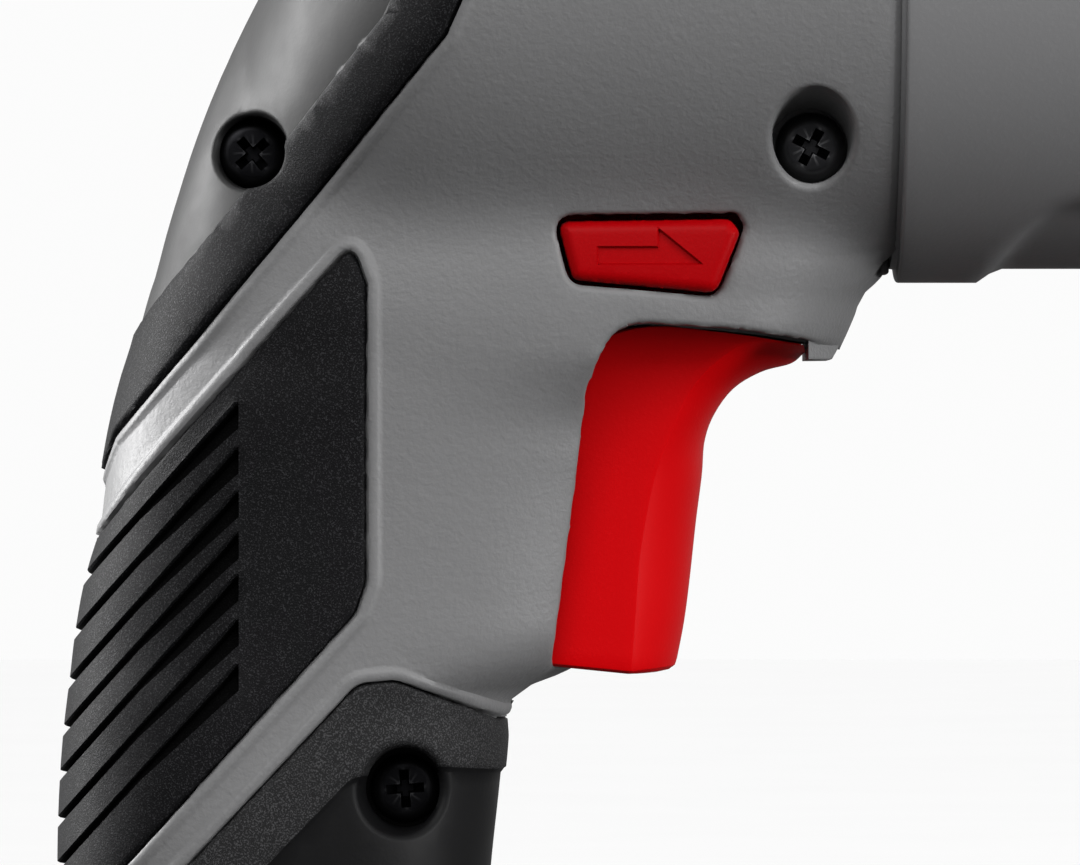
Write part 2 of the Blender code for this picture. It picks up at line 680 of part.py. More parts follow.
def build_motor():
    rotor = turned("rotor", [
        (24.0, 0), (24.0, 2.2), (12.3, 2.4), (12.3, 10.4), (-7.0, 10.4), (-7.0, 2.4), (-17.4, 2.4), (-17.4, 0)],
        16, STEEL, closed=False)
    sun = gear_loop(SUN_TEETH, math.pi / 2, 0.55, 0.62)
    join(rotor, flat("pinion", [shifted(sun, 0, AXIS_Z)], "X", *GEAR_X))
    slots = []
    for k in range(6):
        middle = k * math.pi / 3 + math.pi / 6
        for angle, r in ((-0.36, 16.6), (-0.16, 12.6), (-0.36, 12.4), (-0.44, 11.1),
                         (0.0, 11.1), (0.44, 11.1), (0.36, 12.4), (0.16, 12.6), (0.36, 16.6)):
            slots.append((r * math.cos(middle + angle), r * math.sin(middle + angle)))
    flat("stator_core", [shifted(slots, 0, AXIS_Z), circle(20.0, 30, 0, AXIS_Z)], "X", -6.0, 11.4, DARK_STEEL)
    for word, x0, x1 in (("front", 11.7, 12.8), ("rear", -8.2, -6.3)):
        lobes = []
        for k in range(6):
            middle = k * math.pi / 3 + math.pi / 6
            for angle, r in ((-0.5, 16.0), (-0.44, 12.4), (0.44, 12.4), (0.5, 16.0)):
                lobes.append((r * math.cos(middle + angle), r * math.sin(middle + angle)))
        flat("stator_winding_" + word, [shifted(lobes, 0, AXIS_Z), circle(18.2, 24, 0, AXIS_Z)], "X", x0, x1, COPPER)
    ring("front_bearing", 12.9, 16.6, 2.8, 6.3, 16, STEEL)
    ring("rear_bearing", -16.8, -13.3, 2.8, 6.3, 16, STEEL)
    ring("motor_plate", 14.0, 16.8, 6.8, 15.8, 24, ALLOY)
    fan = ring("cooling_fan", -12.9, -11.9, 2.8, 12.4, 18, PLASTIC)
    for k in range(9):
        blades = bmesh.new()
        turn = Matrix.Translation((-10.4, 0, AXIS_Z)) @ Matrix.Rotation(2 * math.pi * k / 9, 4, "X")
        lean = Matrix.Rotation(0.5, 4, "X")
        blade = Matrix.Translation((0, 0, 8.3)) @ lean @ Matrix.Diagonal((3.2, 0.9, 5.8, 1))
        bmesh.ops.create_cube(blades, size=1.0, matrix=turn @ blade)
        join(fan, from_bmesh(f"fan_blade_{k}", blades))


# ---------------------------------------------------------------- impact mechanism
def lugs(name, x0, x1, inner, outer, half_angle, start):
    """Two sector blocks on opposite sides of the axis."""
    pair = None
    for way in (0, math.pi):
        middle = start + way
        loop = [(r * math.cos(middle + a), AXIS_Z + r * math.sin(middle + a)) for a, r in (
            (-half_angle, inner), (-half_angle, outer), (0, outer), (half_angle, outer), (half_angle, inner))]
        block = flat(f"{name}_{round(math.degrees(way))}", [loop], "X", x0, x1)
        pair = block if pair is None else join(pair, block)
    return pair


def ball(name, centre, radius):
    bm = bmesh.new()
    bmesh.ops.create_uvsphere(bm, u_segments=10, v_segments=6, radius=radius, matrix=Matrix.Translation(centre))
    return smooth(from_bmesh(name, bm, STEEL), 60)


def build_impact():
    spindle = turned("spindle", [
        (56.4, 0), (56.4, 3.6), (51.0, 4.0), (51.0, 7.5), (42.6, 7.5), (42.0, 5.4), (38.0, 5.4), (37.4, 7.5),
        (28.4, 7.5), (28.0, 14.6), (25.2, 14.6), (25.2, 0)], 20, STEEL, closed=False)
    for word, way in (("a", 1), ("b", -1)):
        pin = rod("planet_pin_" + word, (17.4, 0, AXIS_Z + way * PLANET_ORBIT), (1, 0, 0), 9.0, 1.8, 10)
        join(spindle, pin)
        ball("cam_ball_" + word, (40.0, way * 7.8, AXIS_Z), 2.0)
    hammer = turned("hammer", [
        (50.0, 23.6), (49.6, 24.0), (34.0, 24.0), (34.0, 19.8), (44.0, 19.8), (44.0, 12.4), (34.0, 12.4), (34.0, 8.2),
        (35.4, 8.2), (35.4, 10.4), (47.4, 10.4), (47.4, 8.2), (50.0, 8.2)], 24, STEEL)
    join(hammer, lugs("hammer_lugs", 49.0, 57.2, 12.6, 23.4, 0.34, 0.0))
    tubes("hammer_spring", [coil(30.0, 42.4, 16.0, 3.5, 10)], 1.3, STEEL)
    anvil = turned("anvil", [
        (98.0, 0), (98.0, 7.0), (97.6, 7.4), (60.0, 7.4), (60.0, 11.4), (52.8, 11.4), (52.8, 4.6), (58.0, 4.6),
        (58.0, 0)], 20, STEEL, closed=False)
    join(anvil, lugs("anvil_arms", 52.8, 58.2, 10.0, 23.4, 0.30, math.pi / 2))
    cut(anvil, flat("hex_socket", [circle(3.72, 6, 0, AXIS_Z)], "X", 74.0, 110.0))
    cut(anvil, rod("ball_holes", (88.6, -12, AXIS_Z), (0, 1, 0), 24, 1.7, 10))
    for word, way in (("a", 1), ("b", -1)):
        ball("bit_lock_ball_" + word, (88.6, way * 5.9, AXIS_Z), 1.3)
    smooth(turned("bit_sleeve", [
        (99.0, 10.2), (98.2, 11.0), (93.0, 11.0), (92.4, 10.5), (88.4, 10.5), (87.6, 11.4), (86.0, 11.4), (85.2, 10.6),
        (85.2, 7.9), (89.8, 7.9), (89.8, 9.6), (99.0, 9.6)], 24, DARK_STEEL))
    ring("sleeve_washer", 96.6, 97.3, 7.6, 9.2, 20, STEEL)
    tubes("sleeve_spring", [coil(90.6, 95.9, 8.5, 3, 10)], 0.4, STEEL, resolution=0)


# ---------------------------------------------------------------- electrics
def build_electrics():
    module = box("control_module", (-43.0, -10.0, 76.0), (-24.0, 10.0, 104.0), PLASTIC)
    bevel(module, 1.0, 1)
    terminals = box("terminal_block", (-34.0, -13.0, 54.4), (-12.0, 13.0, 58.2), PLASTIC)
    for y in CONTACT_Y:
        join(terminals, box(f"blade_{y:.0f}", (-30.0, y - 0.4, 49.8), (-16.0, y + 0.4, 55.0)))
    box("work_light_lens", (36.8, -4.7, 62.6), (43.2, 4.7, 66.2), LENS)
    box("work_light_board", (36.8, -4.7, 59.0), (43.2, 4.7, 60.4), BOARD)
    motor_route = [
        (-36.0, 104.4), (-38.5, 116.0), (-40.0, 132.0), (-39.0, 148.0), (-30.0, 162.0), (-18.0, 170.0), (-9.2, 177.0)]
    supply_route = [(-29.0, 58.6), (-29.5, 64.0), (-32.0, 70.0), (-32.0, 75.6)]
    flex("motor_lead", motor_route, (-1.4, 0.0, 1.4), 0.8)
    flex("supply_lead", supply_route, (-0.8, 0.8), 1.0)


def flex(name, route, offsets, radius):
    """A flat flexible cable in the middle plane: round cores side by side, moulded together."""
    cores = []
    for y in offsets:
        path = [(x, y, z) for x, z in eased(route, 2)]
        first = not cores
        cores.append(tubes(name if first else f"{name}_core_{len(cores)}", [path], radius, COPPER if first else None))
    return join(*cores)


# ---------------------------------------------------------------- battery pack
def build_battery():
    low, high = PACK
    case = bevel(box("battery_case", low, (high[0], high[1], high[2] + 20), PLASTIC), 3.0, 2)
    cut(case, box("case_above", (-90, -90, PACK_SPLIT_Z), (90, 90, 90)))
    cut(case, box("case_hollow", (low[0] + 2.5, low[1] + 2.5, 2.5), (high[0] - 2.5, high[1] - 2.5, 60)))
    join(case, box("spring_post", (48.4, -3.2, 1.0), (high[0] - 1.0, 3.2, 21.2)))
    cover = bevel(box("battery_cover", (low[0], low[1], -20), high, PLASTIC), 3.0, 2)
    cut(cover, box("cover_below", (-90, -90, -90), (90, 90, PACK_SPLIT_Z + GAP)))
    join(cover, box("rail_neck", *RAIL_NECK), box("rail_head", *RAIL_HEAD))
    cut(cover, box("cover_hollow", (low[0] + 2.5, low[1] + 2.5, 0), (high[0] - 2.5, high[1] - 2.5, high[2] - 2.5)))
    cut(cover, box("rail_hollow", (-47.5, -22.0, 30.0), (40.0, 22.0, 51.7)))
    for y in CONTACT_Y:
        cut(cover, box(f"contact_slot_{y:.0f}", (-60.0, y - 1.3, 48.4), (-14.0, y + 1.3, 60.0)))
    cut(cover, box("latch_well", (LATCH[0][0] - 0.4, LATCH[0][1] - 0.4, 20.0), (70.0, LATCH[1][1] + 0.4, 60.0)))
    cells = box("cell_pack", (-44.0, -30.5, CELL_Z - 6.0), (44.0, -29.0, CELL_Z + 6.0), CELL)
    join(cells, box("holder_plate", (-44.0, 29.0, CELL_Z - 6.0), (44.0, 30.5, CELL_Z + 6.0)))
    for k in range(CELL_COUNT):
        x = (k - (CELL_COUNT - 1) / 2) * CELL_PITCH
        join(cells, rod(f"cell_{k}", (x, -CELL_LENGTH / 2, CELL_Z), (0, 1, 0), CELL_LENGTH, CELL_R, 12))
    board = box("battery_board", (-46.0, -20.0, 28.0), (34.0, 20.0, 29.6), BOARD)
    for y in CONTACT_Y:
        join(board, box(f"clip_{y:.0f}", (-29.0, y - 0.8, 29.0), (-19.0, y + 0.8, 46.0)))
    bevel(box("battery_latch", *LATCH, RED), 0.8, 1)
    tubes("latch_spring", [coil(21.8, 29.4, 1.9, 4, 6, 0.0, 51.0, "Z")], 0.35, STEEL, resolution=0)


build_housing()
build_screws()
build_trigger()
build_selector()
build_case()
build_gears()
build_motor()
build_impact()
build_electrics()
build_battery()
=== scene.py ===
"""The looks of the cordless impact driver: fine surfaces, materials, light and camera.

Lengths in this script are in millimetres, in the frame's own axes, until a mesh is made.
The shell is described in side view: a half width for every (x, z), and a relief on top of it.
"""

import json
import math

import bmesh
import bpy
import numpy as np
from mathutils import Matrix, Vector, kdtree
from mathutils.geometry import delaunay_2d_cdt

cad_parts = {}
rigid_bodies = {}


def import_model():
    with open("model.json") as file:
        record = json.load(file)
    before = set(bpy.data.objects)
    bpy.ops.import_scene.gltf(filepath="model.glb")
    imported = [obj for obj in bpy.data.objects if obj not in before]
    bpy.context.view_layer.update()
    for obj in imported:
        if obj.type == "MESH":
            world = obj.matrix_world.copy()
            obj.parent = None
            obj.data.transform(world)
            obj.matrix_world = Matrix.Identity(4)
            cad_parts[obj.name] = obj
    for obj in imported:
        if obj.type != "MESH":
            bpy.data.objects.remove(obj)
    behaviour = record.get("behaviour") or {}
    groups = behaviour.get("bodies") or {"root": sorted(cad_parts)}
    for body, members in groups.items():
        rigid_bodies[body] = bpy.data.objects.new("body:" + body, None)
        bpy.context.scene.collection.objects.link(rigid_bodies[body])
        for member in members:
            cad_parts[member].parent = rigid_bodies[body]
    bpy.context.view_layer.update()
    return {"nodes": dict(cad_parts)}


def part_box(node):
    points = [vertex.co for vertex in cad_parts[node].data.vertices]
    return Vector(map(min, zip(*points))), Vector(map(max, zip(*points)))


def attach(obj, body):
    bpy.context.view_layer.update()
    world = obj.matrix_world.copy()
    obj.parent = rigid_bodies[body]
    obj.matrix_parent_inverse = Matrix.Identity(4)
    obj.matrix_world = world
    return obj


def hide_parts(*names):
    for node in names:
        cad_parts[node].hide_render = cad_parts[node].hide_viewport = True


for leftover in list(bpy.data.objects):
    bpy.data.objects.remove(leftover)
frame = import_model()

MM = 0.001
RIGHT, LEFT = -1, 1
PARTING = 0.1


def low(node, axis):
    """The lower side of a node's box."""
    return float(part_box(node)[0][axis]) / MM


def high(node, axis):
    """The upper side of a node's box."""
    return float(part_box(node)[1][axis]) / MM


AXIS_Z = (low("rotor", 2) + high("rotor", 2)) / 2
COVER_X = low("hammer_case_cover", 0)
COVER_R = high("hammer_case_cover", 2) - AXIS_Z
SEAM_X = COVER_X - 0.45
HEAD_R = COVER_R - 0.7
DOME_X, DOME_LENGTH, DOME_LEAN = 1.0, 32.0, 0.6
DOME_TOP = 191
GRIP_POWER = 2.4
BLEND_POWER = 8
FOOT_TOP = 66.0
# the web in front of the trigger: half width, the depth of its rounded edge, and the line of its plain nose
WEB_HALF, WEB_EDGE = 15.2, 10.0
WEB_NOSE_X, WEB_NOSE_Z, WEB_NOSE_SLOPE = 21.2, 157.9, 0.43
WEB_SEAM_Z = 163
SKIN_DEPTH = 0.9

# side outline of the grip: height, back edge, front edge, half width
GRIP = np.array([
    (60.0, -51.2, -8.0, 17.0), (66.0, -50.9, -11.0, 16.9), (74.0, -50.9, -13.2, 16.9),
    (84.0, -51.3, -13.6, 17.1), (96.0, -52.2, -13.1, 17.4), (108.0, -52.6, -12.1, 17.6),
    (114.5, -52.4, -11.4, 17.6), (118.8, -52.1, -11.0, 17.6), (121.6, -51.8, -10.9, 17.6),
    (123.2, -51.6, -9.8, 17.6), (124.8, -51.4, -5.9, 17.6), (127.5, -51.1, -2.2, 17.6),
    (131.9, -50.4, -0.6, 17.7), (138.5, -48.8, 0.8, 18.0), (144.0, -48.1, 2.6, 18.4),
    (150.0, -46.9, 7.0, 19.0), (152.9, -46.1, 15.0, 19.4), (153.8, -45.8, 18.7, 19.6),
    (155.4, -45.3, 20.0, 19.8), (157.9, -44.7, 21.2, 20.0), (160.0, -44.1, 22.1, 20.0),
    (160.9, -43.8, 23.1, 20.0), (161.8, -43.5, 23.9, 20.0), (163.0, -43.2, SEAM_X, 19.9),
    (166.0, -42.4, SEAM_X, 19.6), (169.0, -41.5, SEAM_X, 19.0), (173.4, -40.1, SEAM_X, 17.8),
    (177.7, -38.5, SEAM_X, 16.2), (182.1, -36.6, SEAM_X, 14.2), (187.0, -34.2, SEAM_X, 12.0),
    (194.0, -30.4, SEAM_X, 8.0)])


# ---------------------------------------------------------------- the shell's shape
def eased(z, column):
    """A column of the grip's outline at heights z, by a smooth curve through its rows."""
    rows, values = GRIP[:, 0], GRIP[:, column]
    slopes = np.gradient(values, rows)
    z = np.clip(z, rows[0], rows[-1])
    i = np.clip(np.searchsorted(rows, z) - 1, 0, len(rows) - 2)
    step = rows[i + 1] - rows[i]
    t = (z - rows[i]) / step
    return ((2 * t ** 3 - 3 * t ** 2 + 1) * values[i] + (t ** 3 - 2 * t ** 2 + t) * step * slopes[i]
            + (3 * t ** 2 - 2 * t ** 3) * values[i + 1] + (t ** 3 - t ** 2) * step * slopes[i + 1])


def ramp(value, start, end):
    """Smooth step from 0 at start to 1 at end."""
    t = np.clip((value - start) / (end - start), 0, 1)
    return t * t * (3 - 2 * t)


def dome_back(z):
    """The back of the head, behind the motor."""
    rise = (z - AXIS_Z) / HEAD_R
    return DOME_X + DOME_LEAN * (z - AXIS_Z) - DOME_LENGTH * np.sqrt(np.maximum(0, 1 - rise ** 2))


def back_edge(z):
    """The shell's back in side view."""
    z = np.asarray(z, float)
    return np.where(z > DOME_TOP, dome_back(z), eased(z, 1))


def front_edge(z):
    """The shell's front in side view, which is the cover's seam from the web upwards."""
    z = np.asarray(z, float)
    return np.where(z > WEB_SEAM_Z, SEAM_X, np.minimum(SEAM_X, eased(z, 2)))


def half_width(x, z):
    """Half width of the shell at points of the side view."""
    rise = (z - AXIS_Z) / HEAD_R
    behind = np.maximum(0, (DOME_X + DOME_LEAN * (z - AXIS_Z) - x) / DOME_LENGTH)
    head = HEAD_R * np.sqrt(np.maximum(0, 1 - rise ** 2 - behind ** 2))
    back, front, half = eased(z, 1), eased(z, 2), eased(z, 3)
    across = np.abs((x - (back + front) / 2) / ((front - back) / 2))
    fade = np.sqrt(np.maximum(0, 1 - np.maximum(0, (z - 172) / 22) ** 2))
    grip = half * fade * np.maximum(0, 1 - across ** GRIP_POWER) ** (1 / GRIP_POWER)
    edge_gap = front_edge(z) - x
    plain_gap = np.minimum(SEAM_X, WEB_NOSE_X + WEB_NOSE_SLOPE * (z - WEB_NOSE_Z)) - x
    share = ramp(edge_gap, 0.5, 5) * ramp(z, 158, 160)
    reach = np.clip((edge_gap + (plain_gap - edge_gap) * share) / WEB_EDGE, 0, 1)
    upright = ramp(z, 144, 152) * (1 - ramp(z, 166, 176))
    web = WEB_HALF * np.sqrt(1 - (1 - reach) ** 2) * ramp(x, -16, 6) * upright
    return (head ** BLEND_POWER + grip ** BLEND_POWER + web ** BLEND_POWER) ** (1 / BLEND_POWER)


def spaced(points, step):
    """Points along a polyline, no further apart than step."""
    points = np.asarray(points, float)
    out = [points[:1]]
    for a, b in zip(points, points[1:]):
        count = max(1, int(math.ceil(np.linalg.norm(b - a) / step)))
        out.append(a + (b - a) * (np.arange(1, count + 1) / count)[:, None])
    return np.concatenate(out)


def rounded(corners, steps=6):
    """A closed outline whose corners, given as (a, b, radius), are rounded by arcs."""
    outline = []
    for i, (a, b, radius) in enumerate(corners):
        here = Vector((a, b))
        before = Vector(corners[i - 1][:2]) - here
        after = Vector(corners[(i + 1) % len(corners)][:2]) - here
        if radius == 0:
            outline.append((a, b))
            continue
        half = before.angle(after) / 2
        reach = min(radius / math.tan(half), 0.49 * before.length, 0.49 * after.length)
        start = here + before.normalized() * reach
        end = here + after.normalized() * reach
        for k in range(steps + 1):
            t = k / steps
            outline.append(tuple(start.lerp(here, t).lerp(here.lerp(end, t), t)))
    return np.array(outline + outline[:1])


def inside(points, outline):
    """Which points lie inside a closed outline."""
    x, z = points[:, 0], points[:, 1]
    within = np.zeros(len(points), bool)
    for (ax, az), (bx, bz) in zip(outline, outline[1:]):
        crosses = (az > z) != (bz > z)
        if az != bz:
            within ^= crosses & (x < (bx - ax) * (z - az) / (bz - az) + ax)
    return within


def lift(points):
    """Points of the side view as points of the right half's plain surface."""
    return np.stack([points[:, 0], -half_width(points[:, 0], points[:, 1]), points[:, 1]], axis=1)


def within_shell(points):
    """Which points of the side view lie on the shell."""
    x, z = points[:, 0], points[:, 1]
    top = AXIS_Z + HEAD_R
    return (x > back_edge(z)) & (x < front_edge(z)) & (z < top) & (z > GRIP[0, 0])


def evenly(outline, step, surface=lift):
    """Points along an outline, about step apart over the surface."""
    fine = spaced(outline, 0.04)
    placed = surface(fine)
    length = np.concatenate([[0], np.cumsum(np.linalg.norm(np.diff(placed, axis=0), axis=1))])
    corner = np.zeros(len(fine), bool)
    for point in np.asarray(outline):
        corner[np.argmin(np.abs(fine - point).sum(axis=1))] = True
    marks = np.floor(length / step)
    chosen = np.concatenate([[True], np.diff(marks) > 0]) | corner
    chosen[-1] = True
    return fine[chosen]


def sideways(line, closed=False):
    """The unit normal at each point of a line, on one side of it all along."""
    along = np.roll(line, -1, axis=0) - np.roll(line, 1, axis=0)
    if not closed:
        along[0], along[-1] = line[1] - line[0], line[-1] - line[-2]
    along /= np.maximum(np.linalg.norm(along, axis=1, keepdims=True), 1e-9)
    return np.stack([along[:, 1], -along[:, 0]], axis=1)


def runs(points, good):
    """The unbroken stretches of points that are good."""
    chains, run = [], []
    for point, fine in zip(points, good):
        if fine:
            run.append(point)
        elif run:
            chains.append(np.array(run))
            run = []
    chains.append(np.array(run))
    return [c for c in chains if len(c) > 1]


class Edge:
    """An outline in side view with the surface distance of any point from it."""

    def __init__(self, outline, region=within_shell, surface=lift, step=0.7):
        self.outline = np.asarray(outline, float)
        self.surface = surface
        self.step = step
        line = evenly(self.outline, 0.25, surface)
        self.line = line[region(line)]
        on_surface = surface(self.line)
        self.tree = kdtree.KDTree(len(on_surface))
        for k, point in enumerate(on_surface):
            self.tree.insert(point, k)
        self.tree.balance()

    def distance(self, flat, placed):
        """Distance over the surface: positive outside the outline, negative inside."""
        far = np.array([self.tree.find(p)[2] for p in placed])
        return np.where(inside(flat, self.outline), -far, far)

    def laid(self):
        """The outline on the laid-out chart."""
        return UNROLLED.flatten(evenly(self.outline, self.step, self.surface))

    def ring(self, offset):
        """Pieces of a line at an offset over the surface, as chains in side view."""
        line = evenly(self.outline, self.step, self.surface)
        if offset == 0:
            return [line]
        if self.surface is lift:
            return self.ring_on_shell(line, offset)
        normal = sideways(line)
        outward = np.where(inside(line + normal * 0.05, self.outline), -1, 1)[:, None]
        moved = line + normal * outward * offset
        far = np.abs(self.distance(moved, self.surface(moved)))
        return runs(moved, far > abs(offset) * 0.8)

    def ring_on_shell(self, line, offset):
        """The same on the laid-out chart, with each point's reach corrected by its true distance."""
        laid = UNROLLED.flatten(line)
        normal = sideways(laid)
        probe = UNROLLED.restore(laid + normal * 0.06)
        sign = np.where(inside(probe, self.outline), -1, 1) * np.sign(offset)
        reach = np.full(len(line), abs(offset))
        for _ in range(4):
            moved = UNROLLED.restore(laid + normal * (sign * reach)[:, None])
            far = np.abs(self.distance(moved, lift(moved)))
            reach = reach * np.clip(abs(offset) / np.maximum(far, 1e-3), 0.6, 1.5)
        return runs(moved, (far > abs(offset) * 0.8) & (far < abs(offset) * 1.3))


def shell_grid(step):
    """Points spread evenly over the shell, in side view."""
    top = AXIS_Z + HEAD_R
    heights = list(np.arange(GRIP[0, 0] + step, 172, step))
    turn = np.radians(np.arange(-41, 89, math.degrees(step / HEAD_R)))
    heights += list(AXIS_Z + HEAD_R * np.sin(turn))
    found = []
    for row, z in enumerate(heights):
        back, front = float(back_edge(z)), float(front_edge(z))
        if front - back < 1:
            continue
        below_seam = z < WEB_SEAM_Z
        fine = np.linspace(0, math.pi if below_seam else math.pi / 2, 400)
        share = (1 - np.cos(fine)) / 2 if below_seam else 1 - np.cos(fine)
        x = back + (front - back) * share
        y = half_width(x, np.full_like(x, z))
        length = np.concatenate([[0], np.cumsum(np.hypot(np.diff(x), np.diff(y)))])
        count = max(3, int(length[-1] / step))
        wanted = (np.arange(count) + (0.5 if row % 2 else 0.25)) / count * length[-1]
        found.append(np.stack([np.interp(wanted, length, x), np.full(count, z)], axis=1))
    grid = np.concatenate(found)
    return grid[grid[:, 1] < top]


def silhouette():
    """The closed side outline of the shell."""
    top = AXIS_Z + HEAD_R - 0.001
    head = AXIS_Z + HEAD_R * np.sin(np.radians(np.arange(-5, 89.5, 1.2)))
    grip = np.arange(GRIP[0, 0] + 0.1, 190, 0.4)
    web = np.arange(150.0, 165.0, 0.12)
    heights = np.concatenate([grip, web, head, [top]])
    heights = np.unique(heights)
    back = np.stack([back_edge(heights), heights], axis=1)
    front = np.stack([front_edge(heights), heights], axis=1)[::-1]
    return np.concatenate([back, front, back[:1]])


SILHOUETTE = silhouette()
GRID_STEP = 1.3
GRID = shell_grid(GRID_STEP)
# a line through the middle of the shell in side view
SKELETON = spaced([(-32, 60), (-30, 108), (-20, 150), (-12, 178), (6, 193), (24, 193)], 1)


def inwards(point, depth):
    """A point on the parting plane moved towards the middle of the shell."""
    core = SKELETON[np.argmin(np.abs(SKELETON - point[[0, 2]]).sum(axis=1))]
    way = np.array([core[0] - point[0], 0, core[1] - point[2]])
    return point + way / np.linalg.norm(way) * depth


def near_line(points, line, reach):
    """Which points lie within reach of a polyline."""
    hit = np.zeros(len(points), bool)
    for a, b in zip(line, line[1:]):
        ab = b - a
        size = float(ab @ ab)
        if size == 0:
            continue
        t = np.clip(((points - a) @ ab) / size, 0, 1)
        hit |= np.linalg.norm(points - a - t[:, None] * ab, axis=1) < reach
    return hit


def height_along(z):
    """Heights as lengths over the head's round side."""
    rise = np.clip((np.asarray(z, float) - AXIS_Z) / HEAD_R, -0.5, 1)
    below = np.minimum(0, (z - AXIS_Z) / HEAD_R + 0.5)
    return AXIS_Z + HEAD_R * (np.arcsin(rise) + below / math.cos(math.radians(30)))


class Unrolled:
    """The shell laid flat: lengths along each level, from the back edge, against lengths up the side."""

    def __init__(self, step=0.4):
        levels = np.arange(GRIP[0, 0] + 0.02, AXIS_Z + HEAD_R, 0.02)
        wanted = np.arange(float(height_along(levels[0])), float(height_along(levels[-1])), step)
        self.up = wanted
        self.z = np.interp(wanted, height_along(levels), levels)
        self.shares, self.lengths = [], []
        for z in self.z:
            back, front = float(back_edge(z)), float(front_edge(z))
            share = (1 - np.cos(np.linspace(0, math.pi, 500))) / 2
            x = back + (front - back) * share
            y = half_width(x, np.full_like(x, z))
            self.shares.append(share)
            self.lengths.append(np.concatenate([[0], np.cumsum(np.hypot(np.diff(x), np.diff(y)))]))

    def rows(self, up):
        """The row below each length up the side, and how far each is towards the next row."""
        k = np.clip(np.searchsorted(self.up, up) - 1, 0, len(self.up) - 2)
        return k, np.clip((up - self.up[k]) / (self.up[k + 1] - self.up[k]), 0, 1)

    @staticmethod
    def blended(values, places, results, rows, shares):
        """Each value looked up in its row and the next one, blended by its share."""
        found = []
        for value, j, g in zip(values, rows, shares):
            here = np.interp(value, places[j], results[j])
            above = np.interp(value, places[j + 1], results[j + 1])
            found.append((1 - g) * here + g * above)
        return np.array(found)

    def flatten(self, points):
        """Points of the side view as points of the chart."""
        back, front = back_edge(points[:, 1]), front_edge(points[:, 1])
        share = (points[:, 0] - back) / (front - back)
        up = height_along(points[:, 1])
        k, f = self.rows(up)
        along = self.blended(share, self.shares, self.lengths, k, f)
        along += np.minimum(share, 0) * (front - back) + np.maximum(share - 1, 0) * (front - back)
        return np.stack([along, up], axis=1)

    def restore(self, flat):
        """Points of the chart as points of the side view, also a little beyond both edges."""
        k, f = self.rows(flat[:, 1])
        z = np.interp(flat[:, 1], self.up, self.z)
        share = self.blended(flat[:, 0], self.lengths, self.shares, k, f)
        total = np.array([self.lengths[j][-1] for j in k])
        back, front = back_edge(z), front_edge(z)
        beyond = np.minimum(flat[:, 0], 0) + np.maximum(flat[:, 0] - total, 0)
        return np.stack([back + share * (front - back) + beyond, z], axis=1)


UNROLLED = Unrolled()
SILHOUETTE_LAID = UNROLLED.flatten(SILHOUETTE)


def triangulate(points, chains, keep, chart=None):
    """Triangles over points and chains, laid out by a chart, whose centres pass keep."""
    source = np.concatenate(list(chains) + [points])
    layout = chart.flatten(source) if chart else source
    edges, start = [], 0
    for chain in chains:
        edges += [(start + k, start + k + 1) for k in range(len(chain) - 1)]
        start += len(chain)
    verts, _, faces, origins, _, _ = delaunay_2d_cdt([Vector(p) for p in layout], edges, [], 0, 1e-5, True)
    laid = np.array([tuple(v) for v in verts])
    flat = laid.copy()
    fresh = np.array([not origin for origin in origins])
    if chart and fresh.any():
        flat[fresh] = chart.restore(laid[fresh])
    known = np.flatnonzero(~fresh)
    flat[known] = source[[origins[k][0] for k in known]]
    tris = np.array([f for f in faces if len(f) == 3])
    return flat, tris[keep(laid[tris].mean(axis=1))]


def vertex_normals(points, tris):
    """Unit normals at the points, weighted by the area of their triangles."""
    a, b, c = points[tris[:, 0]], points[tris[:, 1]], points[tris[:, 2]]
    face = np.cross(b - a, c - a)
    normals = np.zeros_like(points)
    for k in range(3):
        np.add.at(normals, tris[:, k], face)
    return normals / np.maximum(np.linalg.norm(normals, axis=1, keepdims=True), 1e-12)


def relief_mesh(chains, region):
    """Side-view points and triangles over a region of the shell, and which points are on the parting plane."""
    grid = GRID[np.all([inside(GRID, edge.outline) == wanted for edge, wanted in region], axis=0)]
    lines = np.concatenate(chains)
    near = kdtree.KDTree(len(lines))
    for k, point in enumerate(lift(lines)):
        near.insert(point, k)
    near.balance()
    far = np.array([near.find(p)[2] for p in lift(grid)])
    grid = grid[far > GRID_STEP * 0.42]
    bounds = [(SILHOUETTE_LAID, True)] + [(edge.laid(), wanted) for edge, wanted in region]

    def kept(centres):
        return np.all([inside(centres, outline) == wanted for outline, wanted in bounds], axis=0)

    flat, tris = triangulate(grid, list(chains) + [SILHOUETTE], kept, UNROLLED)
    used = np.unique(tris)
    index = np.full(len(flat), -1)
    index[used] = np.arange(len(used))
    flat, tris = flat[used], index[tris]
    on_edge = near_line(flat, SILHOUETTE, 0.002) & (flat[:, 0] < SEAM_X - 0.01)
    return flat, tris, on_edge


